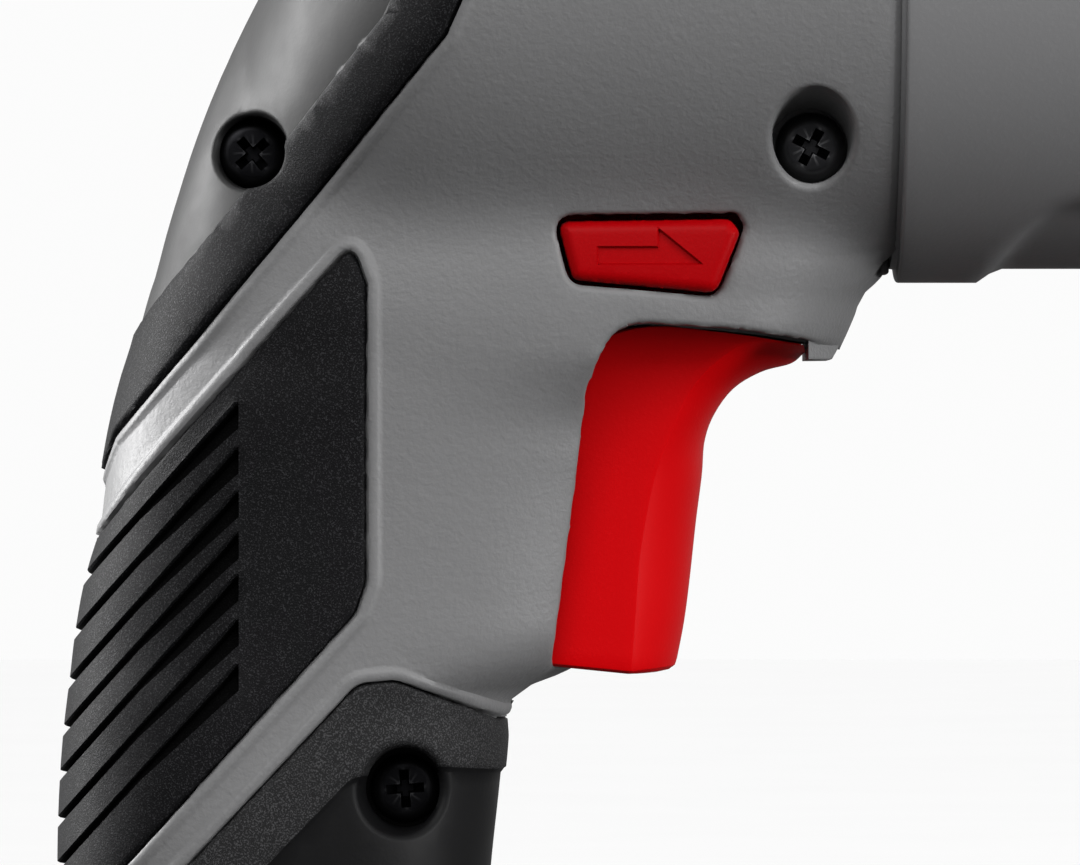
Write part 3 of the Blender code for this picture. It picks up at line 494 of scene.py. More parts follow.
def relief_piece(name, side, chains, region, height, paints, walls=(), tone=None,
                 replaces=()):
    """A skin over the shell in side view, in a region of (edge, whether inside it).
    height gives each point's rise along the normal, and tone each triangle's paint.
    walls pairs a test of the open edge's points with a function that gives the wall's path inwards."""
    flat, tris, on_edge = relief_mesh(chains, region)
    points = lift(flat)
    points[on_edge, 1] = 0
    tris = tris[~on_edge[tris].all(axis=1)]
    a, b, c = (points[tris[:, k]] for k in range(3))
    up = np.cross(b - a, c - a)[:, 1] > 0
    tris[up] = tris[up][:, ::-1]
    normals = vertex_normals(points, tris)
    normals[on_edge, 1] = 0
    normals /= np.maximum(np.linalg.norm(normals, axis=1, keepdims=True), 1e-12)
    points = points + normals * height(flat, points)[:, None]
    points[:, 1] = np.minimum(points[:, 1], -PARTING)
    bm = bmesh.new()
    turn = np.array([1, -side, 1])
    verts = [bm.verts.new(p * turn * MM) for p in points]
    kinds = tone(flat[tris].mean(axis=1)) if tone else np.zeros(len(tris), int)
    for tri, kind in zip(tris, kinds):
        order = tri if side < 0 else tri[::-1]
        face = bm.faces.new([verts[k] for k in order])
        face.material_index = int(kind)
    bm.verts.index_update()
    parting = (
        lambda f: near_line(f, SILHOUETTE, 0.02) & (f[:, 0] < SEAM_X - 0.05),
        lambda f, p, n: [inwards(p, SKIN_DEPTH)])
    plain = (lambda f: np.ones(len(f), bool), lambda f, p, n: [p - n * SKIN_DEPTH])
    wall_in(bm, [*walls, parting, plain], verts, flat, points, normals, turn)
    bmesh.ops.delete(bm, geom=[v for v in bm.verts if not v.link_faces], context="VERTS")
    return finish_piece(name, bm, paints, "tool_body", replaces)


def wall_in(bm, walls, verts, flat, points, normals, turn):
    """Carries the open borders inwards, each by the first wall whose test its points pass."""
    borders = [e for e in bm.edges if e.is_boundary]
    for test, path in walls:
        rows, ends, rest = {}, [], []
        passed = test(flat)
        for edge in borders:
            loop = edge.link_loops[0]
            pair = [loop.vert.index, loop.link_loop_next.vert.index]
            if not passed[pair].all():
                rest.append(edge)
                continue
            for k in pair:
                if k not in rows:
                    way = path(flat[k], points[k], normals[k])
                    rows[k] = [verts[k]] + [bm.verts.new(np.array(q) * turn * MM) for q in way]
            first, second = rows[pair[0]], rows[pair[1]]
            kind = edge.link_faces[0].material_index
            for j in range(len(first) - 1):
                face = bm.faces.new((second[j], first[j], first[j + 1], second[j + 1]))
                face.material_index = kind
            ends.append((first[-1], second[-1], kind))
        if getattr(path, "closed", False) and ends:
            rim = [bm.edges.get(pair[:2]) for pair in ends]
            for face in bmesh.ops.holes_fill(bm, edges=rim, sides=0)["faces"]:
                face.material_index = ends[0][2]
        borders = rest


def add(name, data):
    """An object in the scene, made from its data."""
    obj = bpy.data.objects.new(name, data)
    bpy.context.scene.collection.objects.link(obj)
    return obj


def mesh_of(name, bm):
    """A mesh made from a bmesh, which is freed."""
    mesh = bpy.data.meshes.new(name)
    bm.to_mesh(mesh)
    bm.free()
    return mesh


def finish_piece(name, bm, paints, body, replaces=(), sharp=38, recalc=False):
    """Turns a bmesh in metres into a piece that rides on a body."""
    if recalc:
        bmesh.ops.recalc_face_normals(bm, faces=bm.faces)
    mesh = mesh_of(name, bm)
    obj = add(name, mesh)
    for paint in paints if isinstance(paints, (list, tuple)) else [paints]:
        mesh.materials.append(paint)
    mesh.shade_smooth()
    mesh.set_sharp_from_angle(angle=math.radians(sharp))
    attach(obj, body)
    if replaces:
        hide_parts(*replaces)
    return obj


# ---------------------------------------------------------------- materials
def set_ranges(node, *numbers):
    """Sets the two ranges of a Map Range node."""
    for socket, number in zip(("From Min", "From Max", "To Min", "To Max"), numbers):
        node.inputs[socket].default_value = number


class Paint:
    """A Principled material built from noise in the piece's own coordinates, in metres."""

    def __init__(self, name, colour, rough, metal=0.0, coat=0.0, specular=0.5):
        self.material = bpy.data.materials.new(name)
        self.material.use_nodes = True
        self.tree = self.material.node_tree
        self.shader = self.tree.nodes["Principled BSDF"]
        self.shader.inputs["Metallic"].default_value = metal
        self.shader.inputs["Coat Weight"].default_value = coat
        self.shader.inputs["Specular IOR Level"].default_value = specular
        self.place = self.tree.nodes.new("ShaderNodeTexCoord").outputs["Object"]
        self.shader.inputs["Base Color"].default_value = (*colour, 1)
        self.shader.inputs["Roughness"].default_value = rough
        self.colour = None
        self.rough = None
        self.bump = None

    def noise(self, scale, detail=3.0, roughness=0.55, stretch=None):
        """A noise's value, with scale in features per metre."""
        node = self.tree.nodes.new("ShaderNodeTexNoise")
        node.inputs["Scale"].default_value = scale
        node.inputs["Detail"].default_value = detail
        node.inputs["Roughness"].default_value = roughness
        place = self.place
        if stretch:
            mapping = self.tree.nodes.new("ShaderNodeMapping")
            mapping.inputs["Scale"].default_value = stretch
            self.tree.links.new(place, mapping.inputs["Vector"])
            place = mapping.outputs["Vector"]
        self.tree.links.new(place, node.inputs["Vector"])
        return node.outputs["Fac"]

    def cells(self, scale, feature="F1"):
        """Distances in a Voronoi pattern, with scale in cells per metre."""
        node = self.tree.nodes.new("ShaderNodeTexVoronoi")
        node.feature = feature
        node.inputs["Scale"].default_value = scale
        self.tree.links.new(self.place, node.inputs["Vector"])
        return node.outputs["Distance"]

    def between(self, value, low_in, high_in, low_out=0.0, high_out=1.0):
        """Maps a value from one range to another, clamped."""
        node = self.tree.nodes.new("ShaderNodeMapRange")
        self.tree.links.new(value, node.inputs["Value"])
        set_ranges(node, low_in, high_in, low_out, high_out)
        return node.outputs["Result"]

    def worn(self, start, end):
        """How far a point is a convex edge."""
        return self.between(self.tree.nodes.new("ShaderNodeNewGeometry").outputs["Pointiness"], start, end)

    def tint(self, mask, colour):
        """Mixes a colour in where the mask is 1."""
        node = self.tree.nodes.new("ShaderNodeMix")
        node.data_type = "RGBA"
        self.tree.links.new(mask, node.inputs["Factor"])
        if self.colour:
            self.tree.links.new(self.colour, node.inputs["A"])
        else:
            node.inputs["A"].default_value = self.shader.inputs["Base Color"].default_value
        node.inputs["B"].default_value = (*colour, 1)
        self.colour = node.outputs["Result"]

    def gloss(self, mask, rough):
        """Mixes a roughness in where the mask is 1."""
        node = self.tree.nodes.new("ShaderNodeMix")
        self.tree.links.new(mask, node.inputs["Factor"])
        if self.rough:
            self.tree.links.new(self.rough, node.inputs["A"])
        else:
            node.inputs["A"].default_value = self.shader.inputs["Roughness"].default_value
        node.inputs["B"].default_value = rough
        self.rough = node.outputs["Result"]

    def raise_by(self, value, depth):
        """Adds relief of a depth in millimetres."""
        node = self.tree.nodes.new("ShaderNodeBump")
        node.inputs["Strength"].default_value = 1.0
        node.inputs["Distance"].default_value = depth * MM
        self.tree.links.new(value, node.inputs["Height"])
        if self.bump:
            self.tree.links.new(self.bump, node.inputs["Normal"])
        self.bump = node.outputs["Normal"]

    def done(self):
        """Links what was built to the shader and gives the material."""
        if self.colour:
            self.tree.links.new(self.colour, self.shader.inputs["Base Color"])
        if self.rough:
            self.tree.links.new(self.rough, self.shader.inputs["Roughness"])
        if self.bump:
            self.tree.links.new(self.bump, self.shader.inputs["Normal"])
        return self.material


def moulded(name, colour, rough, grain=2600, depth=0.03, light=None, amount=0.35, specular=0.5):
    """Spark-eroded moulded plastic: a fine even grain, with slight clouding and rubbed places."""
    paint = Paint(name, colour, rough, specular=specular)
    fine = paint.noise(grain, 2.0, 0.6)
    clouds = paint.noise(60, 4.0)
    light = light or tuple(c * 1.25 for c in colour)
    paint.tint(paint.between(fine, 0.55, 0.8, 0, amount), light)
    paint.tint(paint.between(clouds, 0.45, 0.75, 0, 0.25), tuple(c * 0.86 for c in colour))
    paint.gloss(paint.between(clouds, 0.4, 0.7, 0, 0.5), rough - 0.08)
    paint.gloss(paint.between(fine, 0.4, 0.7, 0, 0.5), rough + 0.1)
    paint.raise_by(fine, depth)
    paint.raise_by(paint.noise(700, 2.0), depth * 0.6)
    return paint.done()


def speckled(name, colour, rough, speck, share=0.6, specular=0.07):
    """Moulded elastomer with a matt grain and pale specks."""
    paint = Paint(name, colour, rough, specular=specular)
    grain = paint.noise(6400, 1.5, 0.6)
    paint.tint(paint.between(paint.noise(45, 4.0), 0.4, 0.7, 0, 0.35), tuple(c * 1.5 for c in colour))
    paint.tint(paint.between(grain, share - 0.06, share + 0.06, 0, 0.8), speck)
    paint.gloss(paint.between(grain, 0.5, 0.7, 0, 1), rough - 0.14)
    paint.raise_by(grain, 0.05)
    return paint.done()


def satin_rubber(name, colour, rough, specular=0.3):
    """Smooth elastomer, slightly shiny, with handling marks."""
    paint = Paint(name, colour, rough, specular=specular)
    clouds = paint.noise(120, 5.0)
    paint.tint(paint.between(clouds, 0.35, 0.7, 0, 0.5), tuple(c * 1.6 for c in colour))
    paint.gloss(paint.between(clouds, 0.35, 0.7, 0, 1), rough + 0.12)
    paint.raise_by(paint.noise(2400, 2.0), 0.012)
    return paint.done()


def metal(name, colour, rough, brushed=None, pitted=0.0, dark=None, edge=None):
    """Worked metal: turning or drawing lines, pits for a casting, and bright rubbed edges."""
    paint = Paint(name, colour, rough, 1.0)
    lines = paint.noise(900, 3.0, 0.6, brushed) if brushed else paint.noise(1500, 3.0)
    stain = paint.noise(70, 5.0)
    paint.tint(paint.between(stain, 0.45, 0.75, 0, 0.6), dark or tuple(c * 0.6 for c in colour))
    paint.tint(paint.between(lines, 0.45, 0.75, 0, 0.3), tuple(min(1, c * 1.3) for c in colour))
    paint.gloss(paint.between(lines, 0.35, 0.7, 0, 1), rough + 0.14)
    paint.gloss(paint.between(stain, 0.5, 0.8, 0, 0.6), rough + 0.2)
    if edge:
        paint.tint(paint.worn(0.52, 0.6), edge)
    paint.raise_by(lines, 0.008)
    if pitted:
        paint.raise_by(paint.noise(1300, 2.0), pitted)
    return paint.done()


def board(name):
    """Solder mask with the faint lines of copper under it."""
    paint = Paint(name, (0.012, 0.10, 0.04), 0.32, coat=0.3)
    tracks = paint.cells(420, "DISTANCE_TO_EDGE")
    paint.tint(paint.between(tracks, 0.04, 0.07, 0.7, 0), (0.05, 0.24, 0.09))
    paint.tint(paint.between(paint.noise(500, 2.0), 0.66, 0.7), (0.55, 0.5, 0.4))
    paint.raise_by(paint.between(tracks, 0.04, 0.08), 0.02)
    return paint.done()


def wound(name):
    """Enamelled copper wire, lying in turns."""
    paint = Paint(name, (0.62, 0.21, 0.07), 0.3, 0.85)
    wave = paint.tree.nodes.new("ShaderNodeTexWave")
    wave.inputs["Scale"].default_value = 380
    wave.inputs["Distortion"].default_value = 1.5
    paint.tree.links.new(paint.place, wave.inputs["Vector"])
    # darker where the wave is low, in the hollows between the turns: painted shade
    paint.tint(paint.between(wave.outputs["Fac"], 0, 0.3, 0.8, 0), (0.12, 0.03, 0.01))
    paint.gloss(paint.between(paint.noise(200), 0.4, 0.7), 0.45)
    paint.raise_by(wave.outputs["Fac"], 0.15)
    return paint.done()


def lens(name):
    """Frosted clear plastic over the work light."""
    paint = Paint(name, (0.82, 0.85, 0.88), 0.16)
    paint.shader.inputs["Transmission Weight"].default_value = 0.75
    paint.tint(paint.between(paint.noise(300), 0.4, 0.7, 0, 0.3), (0.7, 0.74, 0.78))
    paint.gloss(paint.between(paint.noise(1800), 0.4, 0.7), 0.3)
    paint.raise_by(paint.cells(900), 0.05)
    return paint.done()


GREY = moulded("grey_housing_grain", (0.152, 0.152, 0.154), 0.5, 1900, 0.06, specular=0.35)
COVER = moulded("grey_cover_grain", (0.165, 0.165, 0.168), 0.46, depth=0.018, specular=0.3)
SPECKLED = speckled("elastomer_speckled", (0.0045, 0.0045, 0.005), 0.6, (0.028, 0.028, 0.03))
# a lighter copy of the speckled elastomer for the lower band, standing in for the light it catches: painted
# light
SPECKLED_LIT = speckled("elastomer_speckled_painted_light", (0.014, 0.014, 0.0145), 0.6, (0.06, 0.06, 0.062), 0.57)
# a near-black copy of the speckled elastomer for the grooves' floors: painted shade
GROOVE_SHADE = speckled("elastomer_groove_painted_shade", (0.0015, 0.0015, 0.0016), 0.8, (0.004, 0.004, 0.004), specular=0.04)
SMOOTH = satin_rubber("elastomer_smooth", (0.0025, 0.0025, 0.0027), 0.5, 0.22)
SMOOTH_DARK = satin_rubber("elastomer_smooth_dark", (0.003, 0.003, 0.0033), 0.45, 0.12)
RED = moulded("red_moulded", (0.49, 0.0004, 0.0018), 0.42, 3400, 0.016, (0.62, 0.003, 0.006), 0.25,
              specular=0.05)
# a darker copy of the trigger's red, for the direction selector: painted shade
RED_SHADED = moulded("red_moulded_painted_shade", (0.31, 0.0004, 0.0018), 0.42, 3400, 0.02, (0.46, 0.003, 0.006), 0.3,
                   specular=0.05)
BLACK = moulded("black_moulded", (0.014, 0.014, 0.015), 0.5, 2200, 0.04, (0.05, 0.05, 0.052), 0.3)
BLACK_FINE = moulded("black_fine", (0.018, 0.018, 0.019), 0.42, 3200, 0.015, (0.04, 0.04, 0.042), 0.3)
ALLOY = metal("cast_alloy_surface", (0.44, 0.45, 0.47), 0.38, None, 0.04, edge=(0.7, 0.71, 0.73))
STEEL = metal("ground_steel", (0.52, 0.52, 0.54), 0.24, (0.15, 1, 1), edge=(0.8, 0.8, 0.82))
DARK_STEEL = metal("blackened_steel_surface", (0.03, 0.03, 0.032), 0.34, (0.2, 1, 1), 0.01,
                   (0.02, 0.02, 0.022), (0.35, 0.35, 0.36))
# a darker copy of the blackened steel, for the screws sunk in deep wells: painted shade
SCREW_SHADED = metal("blackened_screw_painted_shade", (0.008, 0.008, 0.009), 0.4, (0.2, 1, 1), 0.01,
                   (0.005, 0.005, 0.006), (0.08, 0.08, 0.085))
BRONZE = metal("bronze_surface", (0.50, 0.29, 0.11), 0.35, None, 0.02)
COPPER = wound("copper_turns")
BOARD = board("circuit_board_surface")
WRAP = moulded("cell_wrap_surface", (0.03, 0.17, 0.30), 0.25, 400, 0.02)
LENS = lens("clear_lens_surface")


# ---------------------------------------------------------------- outlines over the shell
# each corner is (x, z, radius)
REAR = Edge(rounded([
    (-62.0, 142.2, 0), (-48.7, 142.2, 0), (-46.9, 147.0, 2), (-41.5, 153.3, 0), (-25.8, 172.1, 0),
    (-16.6, 183.0, 2), (-14.9, 186.8, 2), (-14.3, 192.0, 2), (-14.3, 230.0, 0), (-62.0, 230.0, 0)]))
REAR_INNER = Edge(rounded([
    (-62.0, 153.6, 0), (-46.9, 153.6, 0), (-43.4, 158.6, 1), (-22.0, 184.6, 2), (-20.6, 187.6, 2),
    (-20.4, 230.0, 0), (-62.0, 230.0, 0)]))
PAD = Edge(rounded([
    (-70.0, 90.0, 0), (-62.0, 90.0, 0), (-44.5, 109.2, 0), (-24.9, 130.6, 2.2), (-23.9, 133.4, 2.2),
    (-23.9, 160.6, 0), (-25.2, 164.2, 1.8), (-44.4, 142.9, 0), (-60.0, 124.2, 0), (-70.0, 124.2, 0)]))
LOWER = Edge(rounded([
    (-70.0, 72.0, 0), (5.0, 72.0, 0), (5.0, 121.4, 0), (-11.6, 120.7, 0), (-21.2, 124.3, 2.5),
    (-24.6, 124.0, 2.5), (-39.5, 108.2, 0), (-60.0, 86.9, 0), (-70.0, 86.9, 0)]))
LOWER_INNER = Edge(rounded([
    (-70.0, 74.6, 0), (5.0, 74.6, 0), (5.0, 109.0, 0), (-11.2, 116.0, 0), (-16.5, 116.5, 1),
    (-25.2, 115.6, 2), (-31.2, 109.4, 0), (-60.0, 79.4, 0), (-70.0, 79.4, 0)]))
TRIGGER_HOLE = Edge(rounded([
    (-6.75, 125.65, 0.6), (-4.5, 143.0, 9), (-3.65, 151.0, 5), (-1.2, 157.25, 4.5), (10.4, 156.5, 3),
    (16.0, 155.6, 2), (18.2, 155.0, 1), (24.0, 154.2, 0), (24.0, 151.5, 0), (24.0, 123.0, 0),
    (2.5, 124.7, 0)]))
SELECTOR_HOLE = Edge(rounded([
    (-6.95, 166.75, 1.7), (9.9, 166.95, 1.0), (10.75, 165.7, 1.0), (8.35, 159.4, 1.8), (-5.3, 160.55, 1.8)]))


def circle(x, z, radius, tall=None, count=40):
    """A closed ellipse."""
    turn = np.linspace(0, 2 * math.pi, count + 1)
    return np.stack([x + radius * np.cos(turn), z + (tall or radius) * np.sin(turn)], axis=1)


# screws in the shell: rim centre, rim half width and half height, seat centre, seat radius, surface around
SCREW_HOLES = {
    "front_low": ((16.7, 173.7), (3.75, 4.45), (16.5, 173.1), 3.55, "grey"),
    "front_high": ((16.7, 212.3), (3.75, 4.45), (16.7, 212.9), 3.55, "grey"),
    "rear_high": ((-17.4, 203.2), (3.6, 3.7), (-17.4, 203.2), 3.45, "rear"),
    "rear_low": ((-34.5, 172.9), (3.4, 3.45), (-34.5, 172.8), 3.3, "rear"),
    "grip": ((-20.4, 114.4), (4.0, 4.05), (-20.4, 114.4), 3.6, "lower"),
}
SCREW_HEAD_HEIGHT = 2.6
HOLES = {key: Edge(circle(*rim, *size), step=0.5) for key, (rim, size, _, _, _) in SCREW_HOLES.items()}

GROOVE_TOPS = (150.0, 145.9, 141.9, 138.1, 134.3, 130.2, 126.1)
GROOVE_TALL = (2.6, 0.95)
GROOVE_TAPER = 9.0
GROOVE_END, GROOVE_BACK = -35.5, -70.0
GROOVE_SLOPE = math.tan(math.radians(47.8))


def profile(distance, *stops):
    """Height against distance, through (distance, height) stops."""
    return np.interp(distance, [a for a, _ in stops], [b for _, b in stops])


def bead(distance):
    """The raised rim of the hard shell around a moulded-over area, with the narrow gap beside it."""
    return profile(distance, (-0.6, -1.1), (0, -1.0), (0.16, -0.3), (0.34, 0.16), (0.55, 0.28), (1.0, 0.3),
                   (1.22, 0.2), (1.45, 0.0), (1.7, -0.02), (2.4, 0))


def lip(distance, radius=0.6):
    """A rounded edge beside an opening."""
    inward = np.clip(radius - distance, 0, radius)
    return np.sqrt(radius ** 2 - inward ** 2) - radius


def skin_edge(distance, radius=0.45):
    """The rounded border of a moulded-over area: distance is negative inside it."""
    return lip(-distance, radius)


BEAD_OFFSETS = (0, 0.16, 0.34, 0.55, 1.0, 1.22, 1.45, 1.7)
LIP_OFFSETS = (0, 0.08, 0.2, 0.38, 0.6)


def edge_test(edge):
    """A test of which points lie on an edge's outline."""
    return lambda flat: near_line(flat, edge.outline, 0.02)


def well(key):
    """The path from a screw's rim down to its seat."""
    (cx, cz), (rx, rz), (sx, sz), seat_r, _ = SCREW_HOLES[key]
    head_top = abs(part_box("screw_" + key)[0][1]) / MM
    floor = head_top - SCREW_HEAD_HEIGHT

    def path(flat, point, normal):
        angle = math.atan2((flat[1] - cz) / rz, (flat[0] - cx) / rx)
        wide = np.array([sx + seat_r * math.cos(angle), -floor - 2.2, sz + seat_r * math.sin(angle)])
        low = np.array([wide[0], -floor, wide[2]])
        start = point + np.array([0, 0.35, 0]) + (np.array([cx, point[1], cz]) - point) * 0.02
        return [start, start + (wide - start) * 0.5, wide, low]

    path.closed = True
    return path


def hard_height(flat, placed, side):
    """Relief of the hard shell."""
    h = np.zeros(len(flat))
    for edge in (REAR, PAD, LOWER):
        h += bead(edge.distance(flat, placed))
    h += lip(TRIGGER_HOLE.distance(flat, placed), 0.6) + lip(SELECTOR_HOLE.distance(flat, placed), 0.6)
    if side == RIGHT:
        for key in ("front_low", "front_high"):
            h += lip(HOLES[key].distance(flat, placed), 0.6)
    h += profile(SEAM_X - flat[:, 0], (0, -0.55), (0.1, -0.4), (0.6, -0.05), (0.75, 0))
    return h


def towards_axis(point, depth):
    """A point moved inwards to the tool's long axis."""
    way = np.array([0, -point[1], AXIS_Z - point[2]])
    return point + way / np.linalg.norm(way) * depth


def seam_chains():
    """The lines that the rounded edge at the cover's seam needs."""
    heights = np.arange(WEB_SEAM_Z + 0.0, AXIS_Z + HEAD_R, 0.9)
    return [np.stack([np.full(len(heights), SEAM_X - inset), heights], axis=1) for inset in (0.1, 0.6, 0.75)]


def hard_shell(side):
    """One half of the grey shell."""
    word = "right" if side == RIGHT else "left"
    chains = []
    for edge in (REAR, PAD, LOWER):
        for offset in BEAD_OFFSETS:
            chains += edge.ring(offset)
    for edge in (TRIGGER_HOLE, SELECTOR_HOLE):
        for offset in LIP_OFFSETS:
            chains += edge.ring(offset)
    holes = [TRIGGER_HOLE, SELECTOR_HOLE]
    inner_y = high("trigger", 1) + 0.4
    walls = [
        (edge_test(TRIGGER_HOLE), lambda f, p, n: [np.array([p[0], -min(inner_y, abs(p[1])), p[2]])]),
        (edge_test(SELECTOR_HOLE), lambda f, p, n: [p + np.array([0, 3.6, 0])]),
        (lambda f: f[:, 0] > SEAM_X - 0.02, lambda f, p, n: [towards_axis(p, 3.0)])]
    if side == RIGHT:
        for key, (_, _, _, _, kind) in SCREW_HOLES.items():
            holes.append(HOLES[key])
            for offset in LIP_OFFSETS if kind == "grey" else (0,):
                chains += HOLES[key].ring(offset)
            if kind == "grey":
                walls.append((edge_test(HOLES[key]), well(key)))
    chains += seam_chains()
    # the hard shell goes on for a little under the moulded-over areas
    under = [inset(edge, 1.6) for edge in (REAR, PAD, LOWER)]
    chains += [edge.ring(0)[0] for edge in under]
    relief_piece(
        f"housing_{word}_shell", side, chains, [(edge, False) for edge in holes + under],
        lambda flat, placed: hard_height(flat, placed, side), GREY, walls,
        replaces=["housing_" + word])


def inset(edge, amount):
    """An outline drawn inside another in side view."""
    line = spaced(edge.outline, 0.8)[:-1]
    normal = sideways(line, closed=True)
    sign = np.where(inside(line + normal * 0.05, edge.outline), 1, -1)[:, None]
    moved = line + normal * sign * amount
    nearest = np.array([np.min(np.linalg.norm(line - p, axis=1)) for p in moved])
    moved = moved[nearest > amount * 0.9]
    return Edge(np.concatenate([moved, moved[:1]]), step=1.2)


def rear_height(flat, placed):
    """A smooth skin with a raised, speckled strip along its outer edge."""
    d = REAR.distance(flat, placed)
    step = REAR_INNER.distance(flat, placed)
    h = 0.12 + 0.5 * profile(step, (-0.25, 0), (0.05, 0.7), (0.3, 1))
    h += skin_edge(d, 0.5) * 1.2
    return h


def rib_phase(flat):
    """Heights measured at the grooves' end, along their slope."""
    return flat[:, 1] + (GROOVE_END - flat[:, 0]) * GROOVE_SLOPE


GROOVE_LINES = (-0.4, -0.08, 0.05, 0.16, 0.82, 0.93, 1.0, 1.3)


def groove_place(flat, top):
    """How far points are along a groove, from 0 at its end, and down it, from 0 at its top edge."""
    along = np.clip((GROOVE_END - flat[:, 0]) / GROOVE_TAPER, 0, 1)
    tall = GROOVE_TALL[0] + (GROOVE_TALL[1] - GROOVE_TALL[0]) * along
    return along, (top - rib_phase(flat)) / tall


def groove(flat, top):
    """One groove: wide and deep at its end, narrow and shallow towards the back."""
    along, down = groove_place(flat, top)
    depth = 1.7 - 1.0 * along
    return depth * profile(down, (-0.9, 0.14), (-0.4, 0.12), (-0.08, 0), (0.05, -0.15), (0.16, -0.9),
                           (0.82, -1), (0.93, -0.3), (1.0, 0), (1.3, 0.12), (1.8, 0.14))


def in_groove(flat):
    """Whether points lie on a groove's floor."""
    found = np.zeros(len(flat), bool)
    for top in GROOVE_TOPS:
        down = groove_place(flat, top)[1]
        found |= (down > 0.05) & (down < 1.0)
    return found & (flat[:, 0] < GROOVE_END)


def pad_height(flat, placed):
    """A flat speckled skin with slanting finger grooves."""
    d = PAD.distance(flat, placed)
    reach = ramp(GROOVE_END - flat[:, 0], -0.05, 0.35)
    depth = np.zeros(len(flat))
    for top in GROOVE_TOPS:
        cut = groove(flat, top)
        depth = np.where(np.abs(cut) > np.abs(depth), cut, depth)
    fade = ramp(-d, 1.2, 2.2)
    return 0.1 + skin_edge(d) + depth * reach * fade


def lower_height(flat, placed, side):
    """A speckled border with a lower, smooth field inside it."""
    d = LOWER.distance(flat, placed)
    field = LOWER_INNER.distance(flat, placed)
    h = 0.1 + skin_edge(d, 0.5) + 0.45 * profile(field, (-0.5, -1), (0.1, -0.2), (0.4, 0))
    if side == RIGHT:
        h += lip(HOLES["grip"].distance(flat, placed), 0.8)
    return h


def within(edge, *holes):
    """The region inside an edge and outside the holes."""
    return [(edge, True)] + [(hole, False) for hole in holes]


def skin_chains(edge, inner=None):
    """The lines that a skin's rounded border, and the step at its inner field, need."""
    chains = []
    for offset in (0, -0.1, -0.25, -0.5):
        chains += edge.ring(offset)
    if inner:
        for offset in (-0.5, -0.25, 0, 0.3):
            chains += inner.ring(offset)
    return chains


def groove_chains():
    """The lines along each groove, and the two lines across its end."""
    chains = []
    end_tall, back_tall = GROOVE_TALL
    stations = (
        (GROOVE_END + 0.05, end_tall), (GROOVE_END - GROOVE_TAPER, back_tall), (GROOVE_BACK, back_tall))
    for top in GROOVE_TOPS:
        for down in GROOVE_LINES:
            line = [(x, top - down * tall - (GROOVE_END - x) * GROOVE_SLOPE) for x, tall in stations]
            line = evenly(np.array(line), 0.7)
            line = line[inside(line, PAD.outline)]
            if len(line) > 1:
                chains.append(line)
    for shift in (0.05, -0.3):
        for top in GROOVE_TOPS:
            x = GROOVE_END + shift
            chains.append(np.array([[x, top + 0.3], [x, top - end_tall - 0.3]]))
    return chains


def soft_skins(side):
    """The three moulded-over skins of one half."""
    word = "right" if side == RIGHT else "left"
    right = side == RIGHT
    holes = [HOLES["rear_high"], HOLES["rear_low"]] if right else []
    chains = skin_chains(REAR, REAR_INNER)
    walls = []
    for key in ("rear_high", "rear_low") if right else ():
        walls.append((edge_test(HOLES[key]), well(key)))
        for offset in LIP_OFFSETS:
            chains += HOLES[key].ring(offset)

    def rear(flat, placed):
        h = rear_height(flat, placed)
        for hole in holes:
            h += lip(hole.distance(flat, placed), 0.6)
        return h

    relief_piece(
        f"rear_overmould_{word}_skin", side, chains, within(REAR, *holes), rear, [SPECKLED, SMOOTH], walls,
        lambda c: inside(c, REAR_INNER.outline), replaces=["rear_overmould_" + word])

    # the grooves' floors take the near-black copy of the elastomer: painted shade
    relief_piece(
        f"grip_pad_{word}_skin", side, skin_chains(PAD) + groove_chains(), within(PAD), pad_height,
        [SPECKLED, GROOVE_SHADE], (), in_groove, replaces=["grip_pad_" + word])

    holes = [HOLES["grip"]] if right else []
    chains = skin_chains(LOWER, LOWER_INNER)
    walls = []
    if right:
        walls.append((edge_test(HOLES["grip"]), well("grip")))
        for offset in LIP_OFFSETS + (0.8,):
            chains += HOLES["grip"].ring(offset)
    # the lower band takes the lighter copy of the speckled elastomer: painted light
    relief_piece(
        f"lower_overmould_{word}_skin", side, chains, within(LOWER, *holes),
        lambda flat, placed: lower_height(flat, placed, side), [SPECKLED_LIT, SMOOTH_DARK], walls,
        lambda c: inside(c, LOWER_INNER.outline), replaces=["lower_overmould_" + word])


for side in (RIGHT, LEFT):
    hard_shell(side)
    soft_skins(side)


# ---------------------------------------------------------------- shared builders
def curve(points, count):
    """A smooth run of count points through the given ones."""
    points = np.asarray(points, float)
    place = np.linspace(0, len(points) - 1, count)
    k = np.clip(place.astype(int), 0, len(points) - 2)
    t = (place - k)[:, None]
    padded = np.concatenate([2 * points[:1] - points[1:2], points, 2 * points[-1:] - points[-2:-1]])
    p0, p1, p2, p3 = (padded[k + j] for j in range(4))
    square, cube = 2 * p0 - 5 * p1 + 4 * p2 - p3, 3 * p1 - p0 - 3 * p2 + p3
    return 0.5 * (2 * p1 + (p2 - p0) * t + square * t ** 2 + cube * t ** 3)


def loft(bm, rings, ends=True):
    """Closed rings of equal length, joined in order, in millimetres."""
    rows = [[bm.verts.new(np.asarray(p) * MM) for p in ring] for ring in rings]
    for one, two in zip(rows, rows[1:]):
        for k in range(len(one)):
            j = (k + 1) % len(one)
            bm.faces.new((one[k], one[j], two[j], two[k]))
    if ends:
        bm.faces.new(rows[0][::-1])
        bm.faces.new(rows[-1])
    return rows


